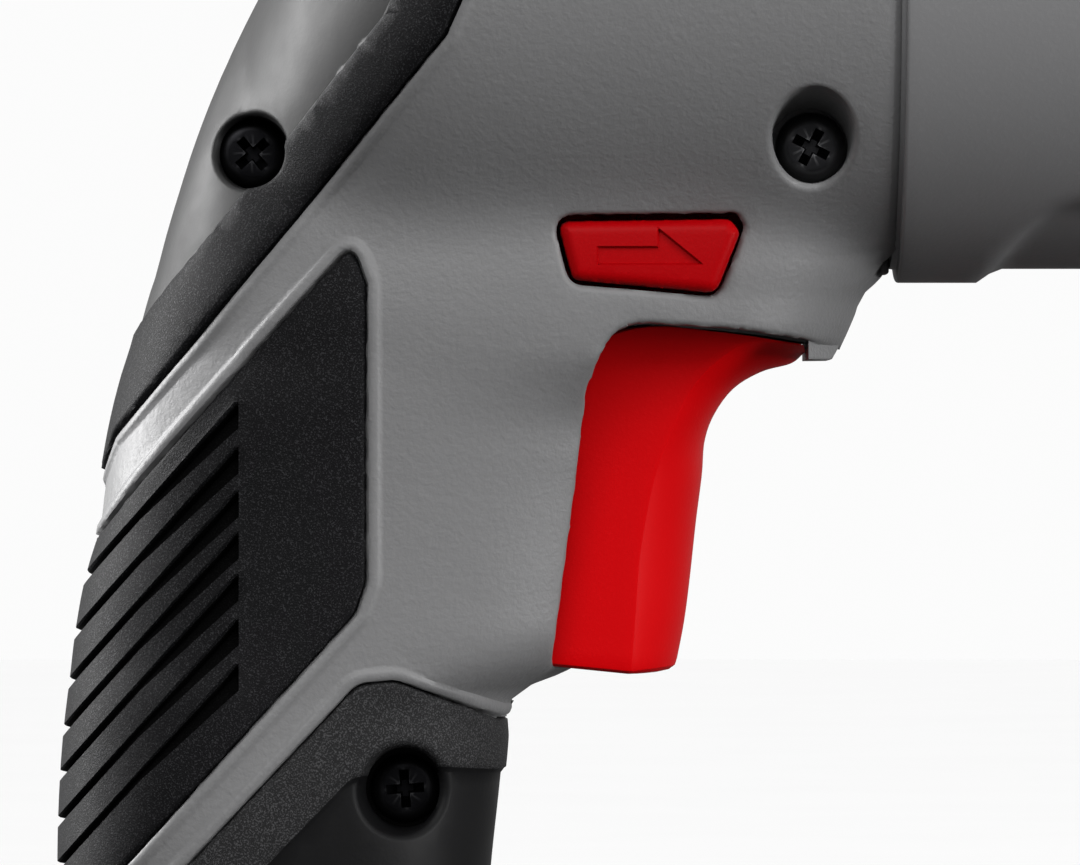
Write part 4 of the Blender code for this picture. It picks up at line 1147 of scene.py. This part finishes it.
def turned(name, outline, paint, body, replaces=(), sides=128, carve=None):
    """A closed outline of (x, radius, corner) swept about the tool's long axis."""
    line = spaced(rounded(outline, 5), 1.2 if carve else 60)[:-1]
    turn = np.linspace(0, 2 * math.pi, sides, endpoint=False)
    bm = bmesh.new()
    rings = []
    for phi in turn:
        x, r = line[:, 0], line[:, 1].copy()
        if carve:
            r = r - carve(x, r, np.full_like(x, phi))
        rings.append(np.stack([x, r * math.sin(phi), AXIS_Z - r * math.cos(phi)], axis=1))
    rows = loft(bm, rings, ends=False)
    for k in range(len(line)):
        j = (k + 1) % len(line)
        bm.faces.new((rows[-1][k], rows[-1][j], rows[0][j], rows[0][k]))
    return finish_piece(name, bm, paint, body, replaces, recalc=True)


def solid(bm, low_corner, high_corner, edge=0.5, segments=3):
    """A box with rounded edges added to bm."""
    made = bmesh.ops.create_cube(bm, size=1)["verts"]
    size = np.array(high_corner) - np.array(low_corner)
    middle = (np.array(high_corner) + np.array(low_corner)) / 2
    for v in made:
        v.co = Vector((np.array(v.co) * size + middle) * MM)
    edges = list(dict.fromkeys(e for v in made for e in v.link_edges))
    if edge:
        bmesh.ops.bevel(bm, geom=edges, offset=edge * MM, segments=segments, profile=0.5, affect="EDGES")


def tool(name, build):
    """A hidden solid for a Boolean."""
    bm = bmesh.new()
    build(bm)
    bmesh.ops.recalc_face_normals(bm, faces=bm.faces)
    return add(name, mesh_of(name, bm))


def cut(base, cutter):
    """A Boolean on base: it keeps what is in a cutter named keep, and loses what is in any other."""
    modifier = base.modifiers.new("cut", "BOOLEAN")
    modifier.object = cutter
    modifier.operation = "INTERSECT" if cutter.name.startswith("keep") else "DIFFERENCE"
    modifier.solver = "EXACT"
    return modifier


def as_made(base, cutters):
    """The mesh that base's modifiers make. Base and the cutters are removed."""
    bpy.context.view_layer.update()
    mesh = bpy.data.meshes.new_from_object(base.evaluated_get(bpy.context.evaluated_depsgraph_get()))
    for used in [base] + list(cutters):
        bpy.data.objects.remove(used)
    return mesh


def carved(name, base, cutters, paint, body, replaces=(), edge=0.35):
    """base with the cutters taken away, its new edges rounded, as one piece."""
    for cutter in cutters:
        cut(base, cutter)
    if edge:
        modifier = base.modifiers.new("edge", "BEVEL")
        modifier.width = edge * MM
        modifier.segments = 2
        modifier.limit_method = "ANGLE"
        modifier.angle_limit = math.radians(50)
        modifier.use_clamp_overlap = True
    bm = bmesh.new()
    bm.from_mesh(as_made(base, cutters))
    for face in bm.faces:
        face.material_index = 0
    return finish_piece(name, bm, paint, body, replaces)


def block(name, low_corner, high_corner, edge=0.0):
    """A hidden box for a Boolean."""
    return tool(name, lambda bm: solid(bm, low_corner, high_corner, edge))


def drill(name, centre, radius, start, length):
    """A hidden rod along Y."""
    def build(bm):
        turn = np.linspace(0, 2 * math.pi, 48, endpoint=False)
        ends = [[(centre[0] + radius * math.cos(a), y, centre[1] + radius * math.sin(a)) for a in turn]
                for y in (start, start + length)]
        loft(bm, ends)
    return tool(name, build)


# ---------------------------------------------------------------- trigger and direction selector
def build_trigger():
    """Flat cheeks back from a crease, and a rounded face in front of it."""
    count = 44
    front = curve([
        (4.75, 126.2), (5.4, 129.6), (5.9, 133.4), (6.5, 138.9), (7.05, 143.2), (7.3, 146.3),
        (8.2, 148.8), (10.0, 151.2), (12.6, 152.75), (15.3, 153.5), (16.55, 154.5)], count)
    crease = curve([
        (0.36, 125.5), (0.75, 130.6), (1.1, 135.5), (1.75, 139.5), (2.5, 142.9), (3.4, 145.6),
        (4.6, 148.5), (6.0, 151.3), (8.4, 153.8), (11.3, 155.4), (16.2, 155.15)], count)
    rear = curve([
        (-9.3, 126.5), (-8.6, 131.0), (-8.3, 135.5), (-8.0, 139.5), (-7.8, 143.0), (-7.6, 146.0),
        (-7.2, 150.0), (-4.5, 154.6), (1.0, 156.85), (8.5, 156.35), (15.6, 155.3)], count)
    width = high("trigger", 1) - 0.05
    bulge = 5.4
    arc = (width ** 2 + bulge ** 2) / (2 * bulge)
    rows = [(f, c, r, 1.0) for f, c, r in zip(front, crease, rear)]
    under = [
        ((4.55, 125.55), (0.3, 125.15), (-9.25, 126.1), 0.99),
        ((4.0, 125.15), (0.25, 124.97), (-9.2, 125.9), 0.96),
        ((3.1, 124.95), (0.2, 124.88), (-9.1, 125.8), 0.91),
        ((2.2, 124.85), (0.1, 124.86), (-9.0, 125.78), 0.84)]
    rows = [tuple(np.array(p) for p in row[:3]) + (row[3],) for row in under[::-1]] + rows

    def section(f, c, r, scale):
        half = width * scale
        cheek = [r + (c - r) * t for t in (0, 0.04, 0.35, 0.65, 0.9, 0.975)]
        points = [(p[0], -half + (0.35 if k == 0 else 0), p[1]) for k, p in enumerate(cheek)]
        for y in np.concatenate([[-0.995, -0.97], np.linspace(-0.92, 0.92, 19), [0.97, 0.995]]) * half:
            t = (math.sqrt(arc ** 2 - (y / scale) ** 2) - (arc - bulge)) / bulge
            p = c + (f - c) * t
            points.append((p[0], y, p[1]))
        points += [(p[0], half - (0.35 if k == 0 else 0), p[1]) for k, p in list(enumerate(cheek))[::-1]]
        return points

    bm = bmesh.new()
    loft(bm, [section(*row) for row in rows])
    finish_piece("trigger_lever", bm, RED, "trigger", ["trigger"], 24, recalc=True)


ARROW_DEPTH = 0.45


def build_selector():
    """A plug across the tool with a rounded face and a sunk arrow at each end."""
    left, right = low("direction_selector", 0) - 0.55, high("direction_selector", 0) + 0.75
    outline = rounded([
        (left, 166.3, 1.0), (right - 0.9, 166.5, 0.9), (right, 165.3, 0.9), (right - 0.35, 164.4, 1.0),
        (8.0, 159.8, 1.3), (-5.0, 161.0, 0.9)])
    depth = high("direction_selector", 1)

    def flat_surface(points):
        return np.stack([points[:, 0], np.zeros(len(points)), points[:, 1]], axis=1)

    edge = Edge(outline, lambda p: np.ones(len(p), bool), flat_surface, 0.4)
    bm = bmesh.new()
    for side in (RIGHT, LEFT):
        arrow = np.array([
            (-2.8, 162.4), (6.8, 162.4), (2.73, 165.7), (2.73, 164.0), (-2.8, 164.0), (-2.8, 162.4)])
        if side == LEFT:
            arrow[:, 0] = left + right - arrow[:, 0]
        sunk = Edge(arrow, lambda p: np.ones(len(p), bool), flat_surface, 0.3)
        chains = [chain for offset in (0, -0.07, -0.2, -0.4, -0.7, -1.0) for chain in edge.ring(offset)]
        chains += [chain for offset in (0.06, -0.12) for chain in sunk.ring(offset)]
        xs, zs = np.meshgrid(np.arange(left, right, 0.55), np.arange(159, 167, 0.55))
        grid = np.stack([xs.ravel(), zs.ravel()], axis=1)
        grid = grid[inside(grid, outline) & ~near_line(grid, outline, 1.1) & ~near_line(grid, arrow, 0.3)]
        flat, tris = triangulate(grid, chains, lambda c: inside(c, outline))
        placed = flat_surface(flat)
        rise = lip(-edge.distance(flat, placed), 1.0)
        rise -= ARROW_DEPTH * profile(sunk.distance(flat, placed), (-0.12, 1), (0.06, 0))
        rise -= 0.012 * (flat[:, 1] - 163.2) ** 2
        out = {}
        for tri in tris:
            for k in tri:
                if k not in out:
                    out[k] = bm.verts.new(np.array([flat[k, 0], side * (depth + rise[k]), flat[k, 1]]) * MM)
            bm.faces.new([out[k] for k in tri])
    middle = Vector(((left + right) / 2, 0, 163.3)) * MM
    borders = [e for e in bm.edges if e.is_boundary]
    # straight in, out to a flange that holds the plug in its hole, and straight in again
    for sink, wide, tall in ((0.52, 1.0, 1.0), (1.0, 1.128, 1.256), (0.5, 1.0, 1.0)):
        moved, fresh = {}, []
        for edge in borders:
            for v in edge.verts:
                if v not in moved:
                    x = middle.x + (v.co.x - middle.x) * wide
                    z = middle.z + (v.co.z - middle.z) * tall
                    moved[v] = bm.verts.new((x, v.co.y * sink, z))
            a, b = edge.verts
            bm.faces.new((a, b, moved[b], moved[a]))
            fresh.append(bm.edges.get((moved[a], moved[b])))
        borders = fresh
    # the selector takes the darker copy of the trigger's red: painted shade
    finish_piece("direction_selector_plug", bm, RED_SHADED, "direction_selector",
                 ["direction_selector"], recalc=True)


def build_trigger_guide():
    """A rib inside the housing, close above the trigger, that its back runs under."""
    roof = [(-1.0, 156.6), (1.0, 157.0), (8.5, 156.5), (12.0, 156.1), (16.5, 155.35)]
    outline = roof + [(16.8, 157.0), (10.0, 158.2), (-1.0, 158.2)]
    bm = bmesh.new()
    loft(bm, [[(x, y, z) for x, z in outline] for y in (-8.8, 8.8)])
    finish_piece("trigger_guide_web", bm, GREY, "tool_body", recalc=True)


def build_nose_stop():
    """The solid nose of the web in front of the trigger, with a small block under the cover's seam."""
    bm = bmesh.new()
    rings = []
    for x in (16.66, 16.9, 17.3, 17.8, 18.3, 18.75, 18.95, 19.15, 19.35, 19.6):
        half = max(0.6, float(half_width(x, 155.4)) - 0.8)
        foot = 153.8 + 1.6 * max(0.0, x - 18.9)
        corners = ((-half, foot), (half, foot), (half, 156.4), (-half, 156.4))
        ring = rounded([(y, z, 0.3) for y, z in corners], 3)[:-1]
        rings.append([(x, y, z) for y, z in ring])
    loft(bm, rings)
    solid(bm, (22.8, -2.2, 161.75), (24.35, 2.2, 164.0), 0.3)
    finish_piece("trigger_nose_stop", bm, GREY, "tool_body", recalc=True)


build_trigger()
build_trigger_guide()
build_nose_stop()
build_selector()


# ---------------------------------------------------------------- screws
def screw_mesh():
    """A pan head with a cross recess and a threaded shank, its head's top at the origin, facing -Y."""
    def head(bm):
        line = [(0.02, 0.0), (1.0, 0.0), (2.05, 0.0), (2.4, 0.06), (2.8, 0.3), (3.1, 0.8), (3.2, 1.3),
                (3.16, 1.9), (3.0, 2.35), (1.5, 2.4)]
        thread = [(1.45 if k % 2 else 1.15, 3.0 + 0.5 * k) for k in range(40)]
        turn = np.linspace(0, 2 * math.pi, 40, endpoint=False)
        loft(bm, [[(r * math.cos(a), y, r * math.sin(a)) for a in turn] for r, y in line + thread])

    def cross(bm):
        for across in (0, math.pi / 2):
            rings = []
            for y, long, half in ((-0.5, 1.85, 0.5), (0.0, 1.75, 0.44), (1.5, 0.75, 0.28)):
                ring = [(long, half), (-long, half), (-long, -half), (long, -half)]
                rings.append([(a * math.cos(across) - b * math.sin(across), y,
                               a * math.sin(across) + b * math.cos(across)) for a, b in ring])
            loft(bm, rings)

    base, cutter = tool("screw_head", head), tool("screw_cross", cross)
    cut(base, cutter).use_self = True
    return as_made(base, [cutter])


def build_screws():
    """The seven housing screws, each turned a little differently."""
    mesh = screw_mesh()
    for k, key in enumerate([*SCREW_HOLES, "foot_rear", "foot_front"]):
        node = "screw_" + key
        corner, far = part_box(node)
        bm = bmesh.new()
        bm.from_mesh(mesh)
        length = (far.y - corner.y) / MM
        bmesh.ops.delete(bm, geom=[v for v in bm.verts if v.co.y / MM > length], context="VERTS")
        bmesh.ops.transform(bm, matrix=Matrix.Rotation(math.radians(28 + 37 * k), 4, "Y"), verts=bm.verts)
        place = Vector(((corner.x + far.x) / 2, corner.y, (corner.z + far.z) / 2))
        bmesh.ops.translate(bm, vec=place, verts=bm.verts)
        # the screws in the deep wells of the rubber and the grip take the darker copy: painted shade
        paint = SCREW_SHADED if key in ("rear_high", "rear_low", "grip") else DARK_STEEL
        finish_piece(node + "_pan", bm, paint, "tool_body", [node], 30)


build_screws()


# ---------------------------------------------------------------- turned parts of the nose
def scallops(x, r, phi):
    """Shallow hollows worked into the cover behind its nose, below and above."""
    off = np.minimum(np.abs(phi), np.abs(2 * math.pi - phi))
    off = np.minimum(off, np.abs(math.pi - phi)) / math.radians(41)
    along = np.clip((41.2 - x) / 8.6, 0, 2)
    depth = 1.3 * ramp(1 - np.sqrt(along ** 2 + off ** 2), 0, 0.22)
    return depth * (r > 30) * (1 - ramp(x, 56, 64))


turned("hammer_case_cover_shell", [
    (76.0, 15.0, 0), (76.0, 17.2, 0.4), (73.6, 18.6, 1.5), (66.0, 25.4, 5), (57.5, 30.6, 6),
    (50.0, COVER_R, 8), (COVER_X, COVER_R, 0.35), (COVER_X, 30.8, 0.1), (COVER_X - 0.6, 30.7, 0),
    (COVER_X - 0.6, 29.0, 0), (56.0, 28.9, 1), (64.0, 24.4, 1), (75.0, 15.0, 0)],
    COVER, "tool_body", ["hammer_case_cover"], 200, scallops)
turned("hammer_case_shell", [
    (83.0, 9.4, 0), (83.0, 12.6, 0.4), (82.2, 13.0, 0.3), (75.4, 13.0, 0.6), (74.4, 14.6, 1),
    (63.5, 24.0, 3), (55.5, 28.4, 3), (22.0, 28.4, 0.5), (22.0, 25.7, 0), (58.5, 25.7, 0),
    (65.0, 15.0, 0), (66.0, 9.4, 0)],
    ALLOY, "tool_body", ["hammer_case"])
turned("nose_bumper_ring", [
    (84.0, 13.4, 0.3), (84.0, 15.6, 0.8), (82.6, 17.1, 0.8), (81.3, 17.15, 0.2), (81.1, 16.7, 0.2),
    (80.5, 16.7, 0.2), (80.3, 17.2, 0.2), (79.0, 17.2, 0.2), (78.8, 16.75, 0.2), (78.2, 16.75, 0.2),
    (78.0, 17.2, 0.2), (76.4, 16.6, 0.6), (76.4, 13.4, 0)],
    SPECKLED, "tool_body", ["nose_bumper"])


def knurls(x, r, phi):
    """Fine ridges round the collar, a depth for each point."""
    return 0.28 * (r > 10.2) * (np.abs(x - 95.6) < 2.2) * (0.5 + 0.5 * np.cos(phi * 48))


turned("bit_sleeve_collar", [
    (99.0, 9.6, 0.2), (99.0, 10.2, 0.3), (98.2, 11.0, 0.4), (93.0, 11.0, 0.3), (92.4, 10.5, 0.3),
    (88.4, 10.5, 0.3), (87.6, 11.4, 0.4), (86.0, 11.4, 0.4), (85.2, 10.6, 0.3), (85.2, 7.9, 0.2),
    (89.8, 7.9, 0.1), (89.8, 9.6, 0)],
    DARK_STEEL, "bit_sleeve", ["bit_sleeve"], 192, knurls)


# ---------------------------------------------------------------- foot of the grip
RING_COUNT = 144


def rectangle_ring(z, low_corner, high_corner, power, shrink=0.0, count=RING_COUNT):
    """A rounded rectangle at a height, as a superellipse with evenly spaced points."""
    turn = np.linspace(0, 2 * math.pi, 4001)
    cx, cy = (low_corner[0] + high_corner[0]) / 2, (low_corner[1] + high_corner[1]) / 2
    a, b = (high_corner[0] - low_corner[0]) / 2 - shrink, (high_corner[1] - low_corner[1]) / 2 - shrink
    c, s = np.cos(turn), np.sin(turn)
    x = cx + a * np.sign(c) * np.abs(c) ** (2 / power)
    y = cy + b * np.sign(s) * np.abs(s) ** (2 / power)
    length = np.concatenate([[0], np.cumsum(np.hypot(np.diff(x), np.diff(y)))])
    wanted = (np.arange(count) + 0.5) / count * length[-1]
    return np.stack([np.interp(wanted, length, x), np.interp(wanted, length, y), np.full(count, z)], axis=1)


def grip_ring(z, grow):
    """The grip's section at a height, grown outwards."""
    back, front, half = (float(eased(z, k)) for k in (1, 2, 3))
    return rectangle_ring(z, (back - grow, -half - grow), (front + grow, half + grow), GRIP_POWER)


def foot_rings():
    """The foot's level sections, from its flat underside up into the grip."""
    low_corner, high_corner = (-54.0, -34.0), (46.0, 34.0)
    base, power, roof_edge, back_edge_radius = 46.0, 9, 4.1, 1.3

    def level(z, shrink, corner=low_corner):
        return rectangle_ring(z, corner, high_corner, power, shrink)

    rings = [level(base, 0.9)]
    rim = ((0.15, 0.45), (0.45, 0.12), (0.9, 0.0), (3.0, 0.0), (3.2, 0.1), (3.4, 0.6), (4.1, 0.6),
           (4.3, 0.1), (4.5, 0.0))
    rings += [level(base + z, s) for z, s in rim]
    rings += [level(z, 0) for z in (53.0, 57.0)]
    # the roof's edge is rounded less at the back, where the grip comes down almost flush
    for turn in np.radians(np.arange(9, 91, 9)):
        shrink = roof_edge * (1 - math.cos(turn))
        held_back = (low_corner[0] - max(0.0, shrink - back_edge_radius), low_corner[1])
        rings.append(level(61.9 + roof_edge * math.sin(turn), shrink, held_back))
    outer, inner = rings[-1], grip_ring(66.0, 6.5)
    neck_back = low_corner[0] + 1.5
    inner[:, 0] = np.maximum(inner[:, 0], neck_back)
    for t in (0.15, 0.3, 0.45, 0.6, 0.75, 0.9, 1.0):
        ring = outer * (1 - t) + inner * t
        ring[:, 2] = FOOT_TOP
        rings.append(ring)
    for turn in np.radians(np.arange(10, 91, 10)):
        ring = grip_ring(FOOT_TOP + 6.2 * (1 - math.cos(turn)), 6.5 - 6.3 * math.sin(turn) - 0.05)
        ring[:, 0] = np.maximum(ring[:, 0], neck_back)
        rings.append(ring)
    rings.append(grip_ring(73.5, -0.6))
    return rings


def build_foot():
    """The foot in two halves, with the battery's bay, the work light's window and two screw wells."""
    neck, head = (24.8, 40.0, 52.0), (27.6, 50.3, 58.5)
    for side, word in ((RIGHT, "right"), (LEFT, "left")):
        outer = tool("foot_" + word, lambda bm: loft(bm, foot_rings()))
        cutters = [block("bay_neck", (-50.4, -neck[0], neck[1]), (70, neck[0], neck[2])),
                   block("bay_head", (-50.4, -head[0], head[1]), (70, head[0], head[2])),
                   block("light_window", (36.4, -5.1, 57.0), (43.6, 5.1, 80.0))]
        near, far = sorted((side * PARTING, side * 60))
        cutters.append(block("keep_half", (-80, near, 30), (80, far, 90)))
        if side == RIGHT:
            for key in ("foot_rear", "foot_front"):
                corner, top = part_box("screw_" + key)
                centre = ((corner.x + top.x) / 2 / MM, (corner.z + top.z) / 2 / MM)
                cutters.append(drill("recess_" + key, centre, 3.35, -60, 60 - 14.0))
        carved("foot_" + word, outer, cutters, GREY, "tool_body")


build_foot()


# ---------------------------------------------------------------- battery
def pack_ring(z, shrink, dents=None):
    """The battery's section at a height: dents takes (x, y) and gives the depth there."""
    low_corner, high_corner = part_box("battery_case")
    ring = rectangle_ring(z, np.array(low_corner) / MM, np.array(high_corner) / MM, 10, shrink, 520)
    if dents:
        side_face = ramp(np.abs(ring[:, 1]), 34.5, 36.2)
        ring[:, 1] -= np.sign(ring[:, 1]) * side_face * dents(ring[:, 0], z)
    return ring


def pack_rings(base, top, foot, roof, dents):
    """Rings of a rounded box, with a small radius at its foot and another at its roof."""
    rings = [pack_ring(base + foot * (1 - math.cos(a)), foot * (1 - math.sin(a)), dents)
             for a in np.radians(np.arange(0, 91, 15))]
    rings += [pack_ring(z, 0, dents) for z in np.arange(base + foot + 0.5, top - roof, 0.5)]
    rings += [pack_ring(top - roof * (1 - math.sin(a)), roof * (1 - math.cos(a)), dents)
              for a in np.radians(np.arange(0, 91, 15))]
    return rings


def case_dents(x, z):
    """A long sunk panel with upright ribs towards its front."""
    panel = ramp(z, 7.0, 8.2) * (1 - ramp(z, 18.0, 19.2)) * ramp(x, -44, -42.6) * (1 - ramp(x, 42.6, 44))
    ribs = (np.cos(x * 2 * math.pi / 4.2) > 0.15) * (x > 10)
    return 0.8 * panel * (1 - 0.8 * ribs)


def cover_dents(x, z):
    """A row of upright finger ribs near the front."""
    panel = ramp(z, 30.5, 31.6) * (1 - ramp(z, 40.2, 41.4)) * ramp(x, 16, 17.2) * (1 - ramp(x, 43, 44.2))
    ribs = (np.cos(x * 2 * math.pi / 3.6) > 0.1)
    return 0.8 * panel * (1 - 0.85 * ribs)


def build_battery():
    """The pack's case, cover, rails and feet."""
    base, split, roof = 0.5, high("battery_case", 2), 45.4
    case_rings = pack_rings(base, split, 2.6, 0.4, case_dents)
    case = tool("case", lambda bm: loft(bm, case_rings))
    notch = block("well_low", (48.2, -14.4, 19.6), (53.4, 14.4, 60))
    carved("battery_case_shell", case, [notch], BLACK, "battery", ["battery_case"], 0.0)
    cover_rings = pack_rings(low("battery_cover", 2), roof, 0.4, 3.0, cover_dents)
    cover = tool("cover", lambda bm: loft(bm, cover_rings))
    notch = block("well_high", (46.2, -14.4, 20.0), (80, 14.4, 60))
    carved("battery_cover_shell", cover, [notch], BLACK, "battery", ["battery_cover"], 0.0)
    rails = block("rails", (-50, -24.4, 44.6), (43, 24.4, 51.6), 0.3)
    head = block("rail_head", (-50.0, -27.2, 50.7), (43.0, 27.2, 54.2), 0.6)
    slots = [block(f"slot_{k}", (-60, y - 1.3, 48.4), (-14, y + 1.3, 60))
             for k, y in enumerate((-9.0, -3.0, 3.0, 9.0))]
    guides = []
    for k in range(7):
        for y in (25.9, -25.9):
            x = -40 + 12 * k
            guides.append(block(f"guide_{k}", (x, y - 1.4, 53.7), (x + 6, y + 1.4, 60), 0.2))
    carved("battery_rails", head, slots + guides, BLACK_FINE, "battery", (), 0.0)
    carved("battery_rail_neck", rails, [], BLACK_FINE, "battery", (), 0.0)
    bm = bmesh.new()
    for x in (-40, 40):
        for y in (-24, 24):
            solid(bm, (x - 9, y - 5, 0.0), (x + 9, y + 5, 1.2), 0.5)
    finish_piece("battery_feet", bm, SPECKLED, "battery")


def build_latch():
    """The latch's button, a soft-edged lever with four grip ridges cut across its front."""
    corner, far = (np.array(v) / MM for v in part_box("battery_latch"))

    def latch_body(bm):
        rings = []
        for y in np.concatenate([[-1, -0.985, -0.95], np.linspace(-0.9, 0.9, 25), [0.95, 0.985, 1]]):
            pull = 0.5 * profile(abs(y), (0.9, 0), (1, 1)) ** 2
            half = (far[1] - corner[1]) / 2
            outline = rounded([
                (corner[0] + pull, corner[2] + pull, 0.8), (far[0] - pull, corner[2] + pull, 1.2),
                (far[0] - pull, corner[2] + 9.6, 0.6), (far[0] - 1.5 - pull, corner[2] + 10.4, 0.8),
                (far[0] - 1.7 - pull, far[2] - 1.6, 1.0), (far[0] - 3.2, far[2] - pull, 0.8),
                (corner[0] + pull, far[2] - pull, 0.8)], 4)[:-1]
            rings.append([(x, y * half, z) for x, z in outline])
        loft(bm, rings)

    latch = tool("latch", latch_body)
    ridges = [block(f"ridge_{k}", (far[0] - 0.5, -10.5, corner[2] + 1.5 + 1.7 * k),
                    (70, 10.5, corner[2] + 2.3 + 1.7 * k)) for k in range(4)]
    carved("battery_latch_button", latch, ridges, RED, "battery_latch", ["battery_latch"], 0)


build_battery()
build_latch()


# ---------------------------------------------------------------- the CAD's own pieces
def light_window():
    """The work light's frosted window, with rounded edges."""
    bm = bmesh.new()
    corner, far = (np.array(v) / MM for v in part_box("work_light_lens"))
    solid(bm, corner, far, 0.7, 4)
    finish_piece("work_light_window", bm, LENS, "tool_body", ["work_light_lens"])


light_window()
FINISHES = {
    BOARD: ("battery_board", "work_light_board"),
    WRAP: ("cell_pack",),
    COPPER: ("stator_winding_front", "stator_winding_rear"),
    BRONZE: ("anvil_bushing",),
    ALLOY: ("case_plate", "motor_plate"),
    BLACK_FINE: ("cooling_fan", "terminal_block", "control_module", "switch_body", "sleeve_washer"),
    SMOOTH: ("motor_lead", "supply_lead"),
    STEEL: (
        "anvil", "bit_lock_ball_a", "bit_lock_ball_b", "cam_ball_a", "cam_ball_b", "front_bearing",
        "rear_bearing", "hammer", "hammer_spring", "latch_spring", "planet_gear_a", "planet_gear_b",
        "ring_gear", "rotor", "sleeve_spring", "spindle", "stator_core", "trigger_spring"),
}
for paint, nodes in FINISHES.items():
    for node in nodes:
        mesh = frame["nodes"][node].data
        mesh.materials.clear()
        mesh.materials.append(paint)

# ---------------------------------------------------------------- floor, light and camera
SKY_LOW, SKY_HIGH = 0.04, 1.15


def studio_sky():
    """Soft light from above, fading out below the horizon."""
    world = bpy.data.worlds.new("studio")
    bpy.context.scene.world = world
    world.use_nodes = True
    nodes, links = world.node_tree.nodes, world.node_tree.links
    place = nodes.new("ShaderNodeTexCoord")
    split = nodes.new("ShaderNodeSeparateXYZ")
    fade = nodes.new("ShaderNodeMapRange")
    links.new(place.outputs["Generated"], split.inputs["Vector"])
    links.new(split.outputs["Z"], fade.inputs["Value"])
    set_ranges(fade, -0.5, 0.9, SKY_LOW, SKY_HIGH)
    fade.interpolation_type = "SMOOTHSTEP"
    links.new(fade.outputs["Result"], nodes["Background"].inputs["Strength"])
    nodes["Background"].inputs["Color"].default_value = (1, 1, 1, 1)


studio_sky()


def lamp(name, place, aim, size, power):
    """A soft rectangular light aimed at a point."""
    data = bpy.data.lights.new(name, "AREA")
    data.shape = "RECTANGLE"
    data.size, data.size_y = size
    data.energy = power
    obj = add(name, data)
    obj.location = place
    obj.rotation_euler = (Vector(aim) - Vector(place)).to_track_quat("-Z", "Y").to_euler()


lamp("key", (-0.15, -0.9, 0.75), (0, 0, 0.15), (0.9, 0.5), 7)
lamp("rim", (-0.9, 0.35, 0.4), (-0.03, 0, 0.13), (0.2, 0.7), 22)
lamp("fill", (0.95, -0.5, 0.16), (0, 0, 0.15), (0.3, 0.6), 11)


def build_floor():
    """A wide pale floor, and a pale dome for the background, which light nothing themselves."""
    bm = bmesh.new()
    bmesh.ops.create_grid(bm, x_segments=2, y_segments=2, size=6)
    mesh = mesh_of("floor", bm)
    pale = Paint("pale_floor", (0.95, 0.95, 0.95), 0.8, specular=0.2)
    pale.tint(pale.between(pale.noise(8, 3.0), 0.4, 0.7, 0, 0.3), (0.92, 0.92, 0.92))
    mesh.materials.append(pale.done())
    ground = add("floor", mesh)
    bm = bmesh.new()
    bmesh.ops.create_uvsphere(bm, u_segments=64, v_segments=32, radius=5.5)
    mesh = mesh_of("backdrop", bm)
    white = bpy.data.materials.new("white_backdrop")
    white.use_nodes = True
    shader = white.node_tree.nodes["Principled BSDF"]
    shader.inputs["Base Color"].default_value = (0, 0, 0, 1)
    shader.inputs["Specular IOR Level"].default_value = 0
    shader.inputs["Emission Color"].default_value = (1, 1, 1, 1)
    shader.inputs["Emission Strength"].default_value = 0.97
    mesh.materials.append(white)
    dome = add("backdrop", mesh)
    for part in (ground, dome):
        part.visible_diffuse = False
        part.visible_glossy = False
        part.visible_transmission = False
    dome.visible_shadow = False


build_floor()
camera = add("camera", bpy.data.cameras.new("camera"))
bpy.context.scene.camera = camera
camera.data.sensor_width = 36
camera.data.lens = 330
camera.location = (-0.008, -0.92, 0.1471)
camera.rotation_euler = (math.radians(90), 0, 0)
camera.data.clip_start, camera.data.clip_end = 0.01, 100
bpy.context.scene.view_settings.view_transform = "Standard"
